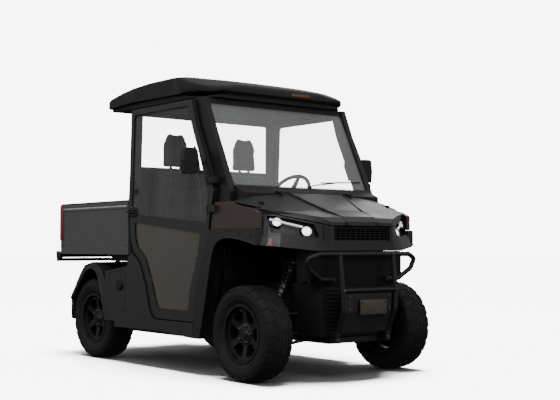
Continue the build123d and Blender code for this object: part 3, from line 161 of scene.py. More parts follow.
def paint(name, colour, roughness, coat):
    """Sprayed paint: slight tone drift, orange peel, and dust settled in patches."""
    finish = Finish(name, Coat_Roughness=0.18, Coat_IOR=1.5)
    drift = finish.noise(2.3, 2.0)
    dust = finish.noise(9.0, 5.0, 0.62).step(0.46, 0.78)
    grain = finish.noise(900.0, 2.0)
    pale = tuple(min(1.0, c * 1.22 + 0.006) for c in colour)
    deep = tuple(c * 0.86 for c in colour)
    finish.set("Base Color", finish.blend(dust * 0.5, finish.blend(drift, deep, colour), pale))
    finish.set("Roughness", roughness + dust * 0.10 + grain * 0.05)
    finish.set("Coat Weight", coat - dust * coat * 0.35)
    skin = finish.bump(finish.noise(260.0, 2.0), 0.25, 0.0006, finish.soft_edges(0.004))
    finish.set("Normal", finish.bump(finish.noise(1.6, 1.0), 0.06, 0.02, skin))
    return finish.material


def powder_coat(name, colour, roughness=0.48):
    """Thick baked coat on tube and plate, with a fine pebbled skin and rubbed high spots."""
    finish = Finish(name, Specular_IOR_Level=0.5)
    pebble = finish.cells(420.0)
    wear = finish.noise(14.0, 6.0, 0.7).step(0.6, 0.8)
    rubbed = tuple(c * 1.8 + 0.02 for c in colour)
    finish.set("Base Color", finish.blend(wear * 0.45, colour, rubbed))
    finish.set("Roughness", roughness + finish.noise(30.0, 3.0) * 0.12 - wear * 0.08)
    finish.set("Normal", finish.bump(pebble, 0.28, 0.0005, finish.soft_edges(0.003)))
    return finish.material


def moulding(name, colour, roughness=0.55, grain_scale=520.0, depth=0.45):
    """Injection-moulded plastic with a leather-like grain."""
    finish = Finish(name, Specular_IOR_Level=0.45)
    grain = finish.cells(grain_scale, "SMOOTH_F1")
    wash = finish.noise(3.5, 3.0)
    scuff = finish.noise(22.0, 6.0, 0.72).step(0.58, 0.82)
    pale = tuple(c * 1.5 + 0.012 for c in colour)
    base = finish.blend(wash * 0.6, colour, tuple(c * 1.18 for c in colour))
    finish.set("Base Color", finish.blend(scuff * 0.4, base, pale))
    finish.set("Roughness", roughness + grain * 0.10 + scuff * 0.08)
    finish.set("Normal", finish.bump(grain, depth, 0.0007, finish.soft_edges(0.003)))
    return finish.material


def rubber(name, colour):
    """Tyre rubber: matt, faintly brown where it has been scrubbed, with mould lines."""
    finish = Finish(name, Specular_IOR_Level=0.35)
    patch = finish.noise(6.0, 5.0, 0.6)
    fine = finish.noise(240.0, 3.0)
    dusty = tuple(c * 2.0 + 0.014 for c in colour)
    finish.set("Base Color", finish.blend(patch.step(0.4, 0.75) * 0.5, colour, dusty))
    finish.set("Roughness", 0.62 + patch * 0.16 + fine * 0.06)
    finish.set("Normal", finish.bump(fine, 0.35, 0.0008, finish.soft_edges(0.002)))
    return finish.material


def metal(name, colour, roughness, scratch, metallic=1.0):
    """Bare or lightly painted metal with brushed scratches and handling marks."""
    finish = Finish(name, Metallic=metallic)
    lines = finish.noise(60.0, 4.0, 0.6, finish.stretched(1.0, 1.0, 14.0))
    marks = finish.noise(11.0, 4.0)
    dull = tuple(c * 0.62 for c in colour)
    finish.set("Base Color", finish.blend(marks.step(0.35, 0.8), colour, dull))
    finish.set("Roughness", roughness + lines * 0.16 + marks * 0.08)
    finish.set("Normal", finish.bump(lines, scratch, 0.0003, finish.soft_edges(0.002)))
    return finish.material


def cast(name, colour):
    """Sand-cast and painted housings."""
    finish = Finish(name, Metallic=0.35)
    sand = finish.noise(160.0, 5.0, 0.6)
    grime = finish.noise(7.0, 5.0, 0.7).step(0.45, 0.75)
    finish.set("Base Color", finish.blend(grime, colour, (0.018, 0.016, 0.014)))
    finish.set("Roughness", 0.6 + grime * 0.2)
    finish.set("Normal", finish.bump(sand, 0.5, 0.0012, finish.soft_edges(0.004)))
    return finish.material


def vinyl(name, colour):
    """Seat cover: grained vinyl with fine creases."""
    finish = Finish(name, Specular_IOR_Level=0.45, Sheen_Weight=0.12, Sheen_Roughness=0.5)
    pores = finish.cells(620.0, "DISTANCE_TO_EDGE")
    crease = finish.noise(26.0, 4.0, 0.6)
    worn = finish.noise(5.0, 3.0).step(0.45, 0.8)
    finish.set("Base Color", finish.blend(worn * 0.5, colour, tuple(c * 1.55 + 0.008 for c in colour)))
    finish.set("Roughness", 0.5 + crease * 0.14 - worn * 0.06)
    grain = finish.bump(pores, 0.5, 0.0006)
    finish.set("Normal", finish.bump(crease, 0.25, 0.003, grain))
    return finish.material


def glass(name, colour, alpha, roughness=0.03):
    """Glazing: a thin tinted layer, a little dustier in streaks."""
    finish = Finish(name, IOR=1.5, Coat_Roughness=0.02, Specular_IOR_Level=0.7)
    film = finish.noise(3.0, 4.0, 0.6, finish.stretched(1.0, 1.0, 0.35)).step(0.35, 0.85)
    dusty = tuple(min(1.0, c * 1.1 + 0.02) for c in colour)
    finish.set("Base Color", finish.blend(film * 0.3, colour, dusty))
    finish.set("Roughness", roughness + film * 0.03)
    finish.set("Alpha", alpha + film * 0.03)
    finish.set("Coat Weight", 0.6)
    return finish.material


def lens(name, colour, alpha, glow, glow_colour=(1.0, 1.0, 1.0)):
    """A moulded lamp lens with fine prism ribs behind its clear face."""
    finish = Finish(name, IOR=1.49, Coat_Weight=0.35, Coat_Roughness=0.03, Emission_Strength=glow)
    ribs = (finish.axis("X") * 900.0).sine()
    cross = (finish.axis("Z") * 900.0).sine()
    body = finish.noise(40.0, 2.0)
    finish.set("Base Color", finish.blend(body * 0.4, colour, tuple(c * 0.8 for c in colour)))
    finish.set("Roughness", 0.12 + body * 0.08)
    finish.set("Alpha", alpha + body * 0.02)
    finish.set("Emission Color", finish.blend(body, glow_colour, tuple(c * 0.85 for c in glow_colour)))
    finish.set("Normal", finish.bump(ribs * cross, 0.3, 0.0008))
    return finish.material


def ground_paint(name, colour):
    """The seamless studio floor."""
    finish = Finish(name, Roughness=0.9)
    cloud = finish.noise(0.6, 3.0)
    finish.set("Base Color", finish.blend(cloud * 0.5, colour, tuple(c * 0.985 for c in colour)))
    return finish.material


finishes = {
    "body_charcoal": paint("charcoal_paint", (0.021, 0.0212, 0.0215), 0.44, 0.18),
    "bed_grey": paint("bed_paint", (0.095, 0.095, 0.0955), 0.46, 0.18),
    "side_brown": paint("brown_paint", (0.060, 0.035, 0.028), 0.42, 0.2),
    "frame_black": powder_coat("frame_coat", (0.010, 0.0102, 0.011)),
    "black_plastic": moulding("black_moulding", (0.009, 0.0092, 0.010)),
    "cast_metal": cast("cast_housing", (0.05, 0.051, 0.053)),
    "spring_steel": metal("spring_paint", (0.05, 0.05, 0.052), 0.42, 0.2, 0.6),
    "alloy_dark": metal("dark_alloy", (0.035, 0.036, 0.038), 0.4, 0.15, 0.7),
    "tyre": rubber("tyre_rubber", (0.011, 0.011, 0.0115)),
    "clear_glass": glass("cab_glass", (0.78, 0.80, 0.79), 0.06),
    # lower door pane: partly a real bronze tint, partly a painted reflection of the pale floor, held in its
    # near-opaque taupe
    "smoked_pane": glass("pane_tint_painted_reflection", (0.100, 0.083, 0.067), 0.95, 0.1),
    "seat_cover": vinyl("seat_vinyl", (0.012, 0.012, 0.013)),
    "lamp": moulding("lamp_shell", (0.018, 0.018, 0.02), 0.3, 700.0, 0.15),
    "amber": lens("amber_lens", (0.17, 0.018, 0.004), 1.0, 0.02, (1.0, 0.14, 0.02)),
    "red": lens("red_lens", (0.30, 0.01, 0.02), 1.0, 0.05, (1.0, 0.05, 0.05)),
}
screen_glass = glass("screen_glass", (0.80, 0.82, 0.82), 0.16, 0.04)
zinc = metal("zinc_plate", (0.20, 0.20, 0.195), 0.34, 0.15)
reflector = metal("lamp_reflector", (0.80, 0.82, 0.84), 0.16, 0.05)
lamp_glow = lens("lamp_glow", (0.9, 0.95, 1.0), 1.0, 3.6)
clear_lens = glass("clear_lens", (0.85, 0.88, 0.9), 0.10)
seal = moulding("seal_rubber", (0.012, 0.012, 0.013), 0.7, 300.0, 0.2)
plate_paint = paint("plate_tan", (0.085, 0.072, 0.056), 0.5, 0.1)
damper_finish = metal("damper_tube", (0.22, 0.22, 0.23), 0.32, 0.1)
spring_finish = powder_coat("spring_coat", (0.030, 0.030, 0.032), 0.36)
exhaust_steel = metal("exhaust_steel", (0.34, 0.29, 0.24), 0.4, 0.3)
mirror_face = metal("mirror_silver", (0.72, 0.75, 0.77), 0.04, 0.0)
roof_finish = moulding("roof_moulding", (0.0115, 0.0116, 0.012), 0.62, 360.0, 0.25)
nose_paint = paint("nose_paint", (0.0085, 0.0087, 0.0092), 0.38, 0.25)
# near-black painted shade: the panels in the front bay and the brake shields in the wheels are darkened to
# stand for the shade there
bay_painted_shade = moulding("bay_painted_shade", (0.0035, 0.0035, 0.0038), 0.7, 320.0, 0.3)
strip_glow = lens("strip_glow", (0.8, 0.85, 0.9), 1.0, 0.9)
marker_lens = lens("marker_lens", (0.13, 0.055, 0.018), 1.0, 0.02, (1.0, 0.4, 0.1))
tail_red = lens("tail_lens", (0.20, 0.008, 0.010), 1.0, 0.04, (1.0, 0.05, 0.05))
edge_trim = moulding("edge_trim", (0.0045, 0.0046, 0.005), 0.5, 420.0, 0.25)
rotor_steel = metal("rotor_steel", (0.16, 0.155, 0.15), 0.34, 0.35)
liner_cloth = moulding("liner_cloth", (0.34, 0.34, 0.335), 0.85, 900.0, 0.6)
# pale grey painted highlight: the bead along the bed's top rail is coloured light to stand for the glint
# along it
rail_painted_highlight = metal("rail_painted_highlight", (0.62, 0.62, 0.60), 0.45, 0.2, 0.15)
gauge_face = lens("gauge_face", (0.02, 0.025, 0.03), 1.0, 0.03, (0.4, 0.6, 0.8))

slot_of = {row["node"]: row["material_slot"] for row in frame["record"]["subparts"]}
for node_name, node in nodes.items():
    node.data.materials.clear()
    node.data.materials.append(finishes[slot_of[node_name]])
nodes["windscreen"].data.materials[0] = screen_glass
for node_name in ("fascia", "front_fenders"):
    nodes[node_name].data.materials[0] = nose_paint


# ------------------------------------------------------------------ shape writing
MM = 0.001
SHARP = math.radians(38.0)
WASHER = 1.4


def metres(point):
    return Vector(point) * MM


def facing(direction):
    """The turn that takes +X to a direction."""
    return Vector(direction).to_track_quat("X", "Z").to_matrix().to_4x4()


TO_THE_FRONT = Matrix.Rotation(math.radians(-90), 4, "Z")  # turns a piece drawn facing sideways to face ahead


def angles(count, offset=0.0):
    """Even angles round a circle, moved on by a share of a step."""
    return [2 * math.pi * (index + offset) / count for index in range(count)]


def verts_of(geometry):
    return [item for item in geometry if isinstance(item, bmesh.types.BMVert)]


def faces_of(geometry):
    return [item for item in geometry if isinstance(item, bmesh.types.BMFace)]


def rounded(points, radius, steps=4):
    """A closed flat outline in the YZ plane with its corners rounded, as corner points."""
    work = bmesh.new()
    face = work.faces.new([work.verts.new((0.0, *point)) for point in points])
    bmesh.ops.bevel(work, geom=list(face.verts), offset=radius, offset_type="OFFSET", segments=steps,
                    profile=0.5, affect="VERTICES", clamp_overlap=True, material=-1)
    ring = [tuple(vert.co)[1:] for vert in next(iter(work.faces)).verts]
    work.free()
    return ring


class Form:
    """A bmesh under construction; its methods take millimetres."""

    def __init__(self):
        self.mesh = bmesh.new()

    def soften(self, edges, width, segments=2):
        """Bevels edges to a width."""
        return bmesh.ops.bevel(self.mesh, geom=list(edges), offset=width * MM, offset_type="OFFSET",
                               segments=segments, profile=0.5, affect="EDGES", clamp_overlap=True,
                               material=-1)

    def box(self, low, high, edge, segments=2, turn=None):
        """A rounded block between two corners, turned about its own middle where a turn is given."""
        middle = (metres(low) + metres(high)) / 2
        size = metres(high) - metres(low)
        made = bmesh.ops.create_cube(self.mesh, size=1.0)["verts"]
        bmesh.ops.scale(self.mesh, vec=size, verts=made)
        result = self.soften({e for v in made for e in v.link_edges}, edge, segments)
        made = list({v for f in result["faces"] for v in f.verts})
        if turn is not None:
            bmesh.ops.rotate(self.mesh, verts=made, cent=(0, 0, 0), matrix=turn)
        bmesh.ops.translate(self.mesh, verts=made, vec=middle)
        return self

    def slab(self, outline, low, high, plane, edge, corner=0.0, segments=2):
        """A flat outline made thick along one axis; the outline holds the other two, in order."""
        points = rounded(outline, corner) if corner else outline
        index = "XYZ".index(plane)
        spots = [(*point[:index], low, *point[index:]) for point in points]
        face = self.mesh.faces.new([self.mesh.verts.new(metres(spot)) for spot in spots])
        grown = bmesh.ops.extrude_face_region(self.mesh, geom=[face])["geom"]
        push = Vector((0, 0, 0))
        push[index] = high - low
        bmesh.ops.translate(self.mesh, verts=verts_of(grown), vec=metres(push))
        if edge:
            self.soften({e for f in faces_of(grown) + [face] if f.is_valid for e in f.edges}, edge, segments)
        return self

    def ring(self, outline, x, width, depth, corner, edge):
        """A strip of even width along the inside of a YZ outline."""
        points = rounded(outline, corner, 5)
        face = self.mesh.faces.new([self.mesh.verts.new(metres((x, a, b))) for a, b in points])
        strip = bmesh.ops.inset_region(self.mesh, faces=[face], thickness=width * MM, use_boundary=True,
                                       use_even_offset=True)["faces"]
        bmesh.ops.delete(self.mesh, geom=[face], context="FACES_ONLY")
        grown = bmesh.ops.extrude_face_region(self.mesh, geom=strip)["geom"]
        bmesh.ops.translate(self.mesh, verts=verts_of(grown), vec=(depth * MM, 0, 0))
        self.soften({e for f in faces_of(grown) for e in f.edges if e.calc_face_angle(0) > 1.0}, edge)
        return self

    def lathe(self, profile, place=(0, 0, 0), direction=(1, 0, 0), steps=40):
        """A turned shape: (along, radius) points spun about a direction through a place."""
        verts = [self.mesh.verts.new(metres((along, 0.0, radius))) for along, radius in profile]
        edges = [self.mesh.edges.new(pair) for pair in zip(verts, verts[1:])]
        before = set(self.mesh.verts) - set(verts)
        bmesh.ops.spin(self.mesh, geom=verts + edges, cent=(0, 0, 0), axis=(1, 0, 0), dvec=(0, 0, 0),
                       angle=2 * math.pi, steps=steps, use_merge=True)
        made = [v for v in self.mesh.verts if v not in before]
        bmesh.ops.remove_doubles(self.mesh, verts=made, dist=2e-6)
        made = [v for v in self.mesh.verts if v not in before]
        there = Matrix.Translation(metres(place)) @ facing(direction)
        bmesh.ops.transform(self.mesh, matrix=there, verts=made)
        return self

    def tube(self, points, radius, sides, smooth=True):
        """A round bar or hose along a line of points; a smooth one rounds them off."""
        data = bpy.data.curves.new("line", "CURVE")
        data.dimensions = "3D"
        data.bevel_depth = radius * MM
        data.bevel_resolution = max(1, sides // 4)
        data.use_fill_caps = True
        data.resolution_u = 6
        spline = data.splines.new("NURBS" if smooth else "POLY")
        spline.points.add(len(points) - 1)
        for spot, point in zip(spline.points, points):
            spot.co = (*metres(point), 1.0)
        if smooth:
            spline.order_u = 3
            spline.use_endpoint_u = True
        line = bpy.data.objects.new("line", data)
        made = bpy.data.meshes.new_from_object(line)
        self.mesh.from_mesh(made)
        bpy.data.objects.remove(line)
        bpy.data.curves.remove(data)
        bpy.data.meshes.remove(made)
        return self

    def bolt(self, place, direction, size, height):
        """A hexagon head on its washer."""
        turn = Vector(direction).to_track_quat("Z", "Y").to_matrix().to_4x4()
        around = Matrix.Translation(metres(place)) @ turn
        for radius, low, high, sides in ((size * 1.25, 0.0, WASHER, 20), (size, WASHER, WASHER + height, 6)):
            made = bmesh.ops.create_cone(self.mesh, cap_ends=True, segments=sides, radius1=radius * MM,
                                         radius2=radius * 0.94 * MM, depth=(high - low) * MM)["verts"]
            bmesh.ops.translate(self.mesh, verts=made, vec=(0, 0, (low + high) / 2 * MM))
            bmesh.ops.transform(self.mesh, matrix=around, verts=made)
        return self

    def bolts(self, places, direction, size, height):
        """The same bolt at each place."""
        for place in places:
            self.bolt(place, direction, size, height)
        return self

    def add(self, other):
        """Takes in another form's shape."""
        scratch = bpy.data.meshes.new("scratch")
        other.mesh.to_mesh(scratch)
        other.mesh.free()
        self.mesh.from_mesh(scratch)
        bpy.data.meshes.remove(scratch)
        return self

    def other_side(self):
        """The same again across the middle of the vehicle."""
        bmesh.ops.mirror(self.mesh, geom=self.mesh.verts[:] + self.mesh.edges[:] + self.mesh.faces[:],
                         matrix=Matrix.Identity(4), merge_dist=-1.0, axis="X")
        return self

    def flip(self, side):
        """The left piece, or its mirror image for the right."""
        if side < 0:
            bmesh.ops.scale(self.mesh, vec=(-1, 1, 1), verts=self.mesh.verts[:])
        return self

    def place(self, matrix):
        """Moves and turns the whole form."""
        bmesh.ops.transform(self.mesh, matrix=matrix, verts=self.mesh.verts[:])
        return self

    def becomes(self, name, body, slot, finish=None, replaces=(), sharp=SHARP):
        """The finished piece as an object that rides a body."""
        bmesh.ops.remove_doubles(self.mesh, verts=self.mesh.verts[:], dist=1e-6)
        bmesh.ops.recalc_face_normals(self.mesh, faces=self.mesh.faces[:])
        for face in self.mesh.faces:
            face.smooth = True
        for edge in self.mesh.edges:
            edge.smooth = edge.calc_face_angle(0.0) < sharp
        data = bpy.data.meshes.new(name)
        self.mesh.to_mesh(data)
        self.mesh.free()
        data.materials.append(finish or finishes[slot])
        piece = bpy.data.objects.new(name, data)
        bpy.context.scene.collection.objects.link(piece)
        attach(piece, body)
        if replaces:
            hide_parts(*replaces)
        return piece


# ------------------------------------------------------------------ places shared with the solids
FRONT_AXLE_Y = -1135.0
REAR_AXLE_Y = 937.0
# each axle's half track, its place along the vehicle and the height of its upper shock eyes
AXLES = {"front": (650.0, FRONT_AXLE_Y, 800.0), "rear": (617.0, REAR_AXLE_Y, 712.0)}
SIDES = {"left": 1, "right": -1}
WHEEL_Z = 326.0
SEAT_X = 345.0
DOOR_OUT = 732.0
PILLAR_X = 688.0
DOOR_WINDOW = [(-712, 1085), (-735, 1290), (-625, 1560), (-520, 1800), (-468, 1940), (274, 1940),
               (297, 1453), (309, 1280), (290, 1165)]
DOOR_PANE = [(-632, 1012), (-600, 860), (-548, 720), (-500, 600), (-478, 452), (-70, 452), (-30, 520),
             (20, 660), (120, 838), (226, 905), (262, 1000), (268, 1104)]


# ------------------------------------------------------------------ wheels
# half of the tyre's section: across from its middle plane, and out from the axle
TYRE_SECTION = [(90, 188), (90, 203), (99, 213), (106, 229), (108, 231), (109, 236), (107.5, 239),
                (112, 252), (114.5, 266), (113, 281), (109, 294), (105, 302), (96, 311), (84, 317),
                (64, 319.5), (58, 320), (34, 320.5), (28, 320.5), (5, 321)]
TYRE_STEPS = 84
TREAD_LIMIT = 326.2
TREAD_DEPTH = 5.0
SHOULDER_X = 94.0
SHOULDER_PROUD = 3.0
BLOCK_INSET = 1.6
NUT_CIRCLE = 58.0


def carries_block(across, reach, spot):
    """Whether a face of the tyre rises into a tread block; the rows are staggered from side to side."""
    row = 1 if across > 0 else 3
    across = abs(across)
    shoulder = 297 < reach < 319 and across > 64 and (spot + row) % 4 < 3
    flank = reach > 318 and 34 < across < 58 and (spot + row + 2) % 4 < 2
    crown = reach > 318 and 0 < across < 28 and (spot + row - 1) % 4 < 3
    return shoulder or flank or crown


def tyre(name, half_track, axle_y, side):
    """A tyre with staggered tread blocks over the crown and longer ones round each shoulder."""
    form = Form()
    mirrored = [(-across, reach) for across, reach in reversed(TYRE_SECTION)]
    form.lathe(TYRE_SECTION + mirrored + TYRE_SECTION[:1], steps=TYRE_STEPS)
    work = form.mesh
    blocks = []
    for face in work.faces:
        middle = face.calc_center_median() / MM
        spot = round(math.atan2(middle.z, middle.y) / (2 * math.pi) * TYRE_STEPS - 0.5) % TYRE_STEPS
        if carries_block(middle.x, math.hypot(middle.y, middle.z), spot):
            blocks.append(face)
    bmesh.ops.inset_region(work, faces=blocks, thickness=BLOCK_INSET * MM, depth=0.0, use_boundary=True,
                           use_even_offset=True)
    grown = bmesh.ops.extrude_face_region(work, geom=blocks)["geom"]
    bmesh.ops.delete(work, geom=[face for face in blocks if face.is_valid], context="FACES_ONLY")
    for vert in verts_of(grown):
        out = math.hypot(vert.co.y, vert.co.z)
        growth = 1 + min(TREAD_DEPTH * MM, (TREAD_LIMIT * MM - out) * 0.98) / out
        sideways = math.copysign(SHOULDER_PROUD * MM, vert.co.x) if abs(vert.co.x) > SHOULDER_X * MM else 0.0
        vert.co = Vector((vert.co.x + sideways, vert.co.y * growth, vert.co.z * growth))
    form.flip(side).place(Matrix.Translation(metres((side * half_track, axle_y, WHEEL_Z))))
    return form.becomes(name, "wheel_" + name[5:], "tyre", replaces=(name,), sharp=math.radians(30))


def wheel_fittings(place, half_track, axle_y, side):
    """Five lug nuts, the cap's rim and the valve."""
    form = Form()
    for angle in angles(5, 0.5):
        spot = (half_track + 57.5, NUT_CIRCLE * math.cos(angle), NUT_CIRCLE * math.sin(angle))
        form.lathe([(0, 0), (0, 12), (3, 12), (5, 10)], spot, (1, 0, 0), 18)
        form.bolt(spot, (1, 0, 0), 9.5, 12)
        form.lathe([(12, 8.4), (16, 6.2), (17, 0)], spot, (1, 0, 0), 12)
    form.lathe([(60, 36), (66, 36), (69, 34), (66, 31)], (half_track, 0, 0), (1, 0, 0), 40)
    form.lathe([(0, 0), (0, 5), (10, 4.2), (26, 3.6), (27, 4.6), (34, 4.6), (35, 3), (35, 0)],
               (half_track + 66, 0, 172), (0.75, 0, -0.5), 14)
    form.flip(side).place(Matrix.Translation(metres((0, axle_y, WHEEL_Z))))
    return form.becomes("fittings_" + place, "wheel_" + place, "spring_steel", zinc)


def wheels():
    """The four tyres and what is fastened to their rims."""
    for end, (half_track, axle_y, _) in AXLES.items():
        for side_name, side in SIDES.items():
            tyre(f"tyre_{end}_{side_name}", half_track, axle_y, side)
            wheel_fittings(f"{end}_{side_name}", half_track, axle_y, side)


# ------------------------------------------------------------------ suspension and drive
SHOCK_FOOT_Z = 472.0
SHOCK_FOOT_INSET = 180.0
SHOCK_HEAD_X = 273.0
SPRING_RADIUS = 34.5
SPRING_TURNS = 8
SPRING_SEAT = 56.0
POINTS_A_TURN = 14


def coil_over(form, half_track, axle_y, top):
    """Damper, bump rubber, spring seats and eyes of one strut; its spring is a separate form."""
    low = Vector((half_track - SHOCK_FOOT_INSET, axle_y, SHOCK_FOOT_Z))
    high = Vector((SHOCK_HEAD_X, axle_y, top))
    along = high - low
    reach = along.length
    sleeve = reach * 0.55
    form.lathe([(12, 0), (12, 17), (36, 17), (38, 27), (44, 44), (50, 44), (51, 27), (sleeve, 25),
                (sleeve + 3, 22), (sleeve + 3, 10), (reach - 80, 10), (reach - 78, 20), (reach - 52, 24),
                (reach - 51, 42), (reach - 45, 42), (reach - 42, 20), (reach - 14, 16), (reach - 12, 0)],
               low, along, 28)
    for spot in (low, high):
        form.lathe([(-16, 9), (-16, 15), (-14, 18), (14, 18), (16, 15), (16, 9), (-16, 9)], spot,
                   (0, 1, 0), 24)
        form.bolt(spot - Vector((0, 17, 0)), (0, -1, 0), 9, 6)
        form.bolt(spot + Vector((0, 17, 0)), (0, 1, 0), 9, 8)
    return low, high


def spring(form, low, high):
    """A wound spring with closed end turns between the seats."""
    along = (high - low).normalized()
    reach = (high - low).length
    first = along.cross(Vector((0, 1, 0))).normalized()
    second = along.cross(first)
    points = []
    for step in range(SPRING_TURNS * POINTS_A_TURN + 1):
        share = step / (SPRING_TURNS * POINTS_A_TURN)
        rise = min(1.0, max(0.0, (share - 0.06) / 0.88))
        angle = 2 * math.pi * step / POINTS_A_TURN
        spot = low + along * (SPRING_SEAT + (reach - 2 * SPRING_SEAT) * rise)
        points.append(spot + (first * math.cos(angle) + second * math.sin(angle)) * SPRING_RADIUS)
    form.tube(points, 6.2, 12)


def suspension():
    """The four dampers and their springs."""
    struts, springs = Form(), Form()
    for half_track, axle_y, shock_top in AXLES.values():
        spring(springs, *coil_over(struts, half_track, axle_y, shock_top))
    struts.other_side().becomes("dampers", "chassis", "spring_steel", damper_finish, replaces=("shocks",))
    springs.other_side().becomes("springs", "chassis", "frame_black", spring_finish)


def boots():
    """Pleated rubber boots over the joints of the four half shafts."""
    form = Form()
    for half_track, axle_y, _ in AXLES.values():
        outer = half_track - 156.0
        inner_pleats = [(128 + 8 * k, 39 - 4.4 * k / 2 + (3.4 if k % 2 else 0)) for k in range(11)]
        outer_pleats = [(outer - 62 + 8 * k, 18 + 1.6 * k + (3.4 if k % 2 else 0)) for k in range(8)]
        for pleats in (inner_pleats, outer_pleats):
            profile = [(pleats[0][0], 10)] + pleats + [(pleats[-1][0] + 4, 10)]
            form.lathe(profile, (0, axle_y, WHEEL_Z), (1, 0, 0), 28)
    form.other_side().becomes("shaft_boots", "chassis", "black_plastic", seal)


def differential_covers():
    """Ribs, cover bolts and plugs on the differentials."""
    form = Form()
    # each cover's faces along the vehicle, its half width, and the face and direction of its bolts
    front_face, rear_face = FRONT_AXLE_Y - 64, REAR_AXLE_Y + 94
    for low, high, wide, face_y, way in ((front_face, front_face + 6, 96, front_face, -1),
                                         (rear_face - 6, rear_face, 100, rear_face, 1)):
        form.slab([(-wide, 262), (wide, 262), (wide, 372), (62, 402), (-62, 402), (-wide, 372)],
                  low, high, "Y", 1.5, 18)
        form.bolts([(x, face_y, z) for x, z in ((-wide + 14, 276), (wide - 14, 276), (-wide + 14, 362),
                                                (wide - 14, 362), (-40, 390), (40, 390), (0, 272))],
                   (0, way, 0), 7, 5)
        form.bolt((0, face_y, 320), (0, way, 0), 11, 7)
    for x in (-90, -45, 0, 45, 90):
        form.box((x - 4, REAR_AXLE_Y - 150, 424), (x + 4, REAR_AXLE_Y + 70, 440), 2)
    for x in (-50, 0, 50):
        form.box((x - 4, FRONT_AXLE_Y - 50, 408), (x + 4, FRONT_AXLE_Y + 52, 420), 2)
    form.becomes("differential_covers", "chassis", "cast_metal")


# ------------------------------------------------------------------ engine and radiator
BELT_COVER_Y = 610.0
BELT_COVER_Z = 425.0
COVER_BOLT_CIRCLE = 116.0
COVER_RIB_REACH = 96.0
FAN_Z = 750.0


def engine_case():
    """Crankcase, finned cylinder and ribbed belt cover under the bed."""
    form = Form()
    form.box((-150, 470, 296), (120, 760, 470), 22, 4)
    form.box((-120, 500, 470), (60, 700, 520), 14, 3)
    for z in range(524, 632, 12):
        form.box((-112, 516, z), (52, 684, z + 5), 2)
    form.box((-92, 536, 520), (32, 664, 630), 8)
    form.box((-118, 508, 632), (58, 692, 676), 12, 3)
    form.lathe([(120, 0), (120, 128), (150, 126), (168, 110), (176, 60), (178, 0)],
               (0, BELT_COVER_Y, BELT_COVER_Z), (1, 0, 0), 48)
    for angle in angles(8):
        form.bolt((152, BELT_COVER_Y + COVER_BOLT_CIRCLE * math.cos(angle),
                   BELT_COVER_Z + COVER_BOLT_CIRCLE * math.sin(angle)), (1, 0, 0), 6, 4)
    for angle in angles(12)[:6]:
        form.box((174, BELT_COVER_Y - COVER_RIB_REACH, BELT_COVER_Z - 3),
                 (181, BELT_COVER_Y + COVER_RIB_REACH, BELT_COVER_Z + 3), 1.5, 2,
                 Matrix.Rotation(angle, 3, "X"))
    form.lathe([(-150, 0), (-150, 96), (-176, 90), (-184, 40), (-184, 0)], (0, 590, 400), (1, 0, 0), 40)
    form.bolts([(121, y, z) for y in (480, 740) for z in (310, 450)], (1, 0, 0), 7, 5)
    form.becomes("engine_case", "chassis", "cast_metal", replaces=("engine",))


def exhaust():
    """Muffler with its pipe from the cylinder and its outlet."""
    form = Form()
    form.lathe([(-170, 0), (-168, 44), (-160, 52), (60, 52), (68, 44), (70, 0)], (80, 745, 560),
               (-1, 0, 0), 36)
    form.tube([(-30, 664, 600), (-30, 720, 600), (30, 745, 590), (90, 745, 560)], 17, 14)
    form.tube([(150, 745, 560), (170, 748, 560), (178, 770, 552)], 14, 14)
    form.becomes("exhaust", "chassis", "spring_steel", exhaust_steel)


def airbox():
    """The intake's box, its lid and the duct to the cylinder."""
    form = Form()
    form.box((60, 448, 545), (184, 660, 684), 16, 4)
    form.box((70, 470, 676), (176, 640, 689), 6, 3)
    form.tube([(70, 560, 610), (40, 560, 622), (10, 600, 640)], 24, 14)
    form.becomes("airbox", "chassis", "black_plastic")


def radiator_details():
    """Fins, filler cap, the fan in its ring, and two hoses."""
    form = Form()
    for z in range(606, 903, 11):
        form.box((-163, -1466, z), (163, -1462, z + 2.2), 0.6, 1)
    form.lathe([(0, 0), (0, 20), (10, 20), (14, 16), (14, 0)], (180, -1440, 900), (0, 0, 1), 24)
    form.lathe([(0, 150), (26, 150), (30, 146), (26, 142), (4, 142), (0, 150)], (0, -1410, FAN_Z),
               (0, 1, 0), 48)
    form.lathe([(0, 0), (0, 34), (20, 32), (24, 0)], (0, -1408, FAN_Z), (0, 1, 0), 28)
    hub = Matrix.Translation(metres((0, -1395, FAN_Z)))
    for angle in angles(7):
        form.add(Form().box((28, -3, -16), (138, 1, 16), 1.5, 2).place(hub @ Matrix.Rotation(angle, 4, "Y")))
    form.becomes("radiator_fins", "chassis", "black_plastic")
    hose = Form()
    hose.tube([(180, -1412, 860), (180, -1380, 860), (190, -1330, 820), (195, -1300, 700), (190, -1200, 640),
               (190, -1000, 640)], 15, 14)
    hose.tube([(-180, -1412, 640), (-180, -1370, 640), (-192, -1300, 600), (-192, -1200, 560),
               (-192, -1000, 540)], 15, 14)
    hose.becomes("radiator_hoses", "chassis", "black_plastic", seal)


# ------------------------------------------------------------------ guard at the front
PLATE_OUTLINE = [(-98, 452), (157, 452), (157, 556), (-98, 556)]
PLATE_Y = -1616.0


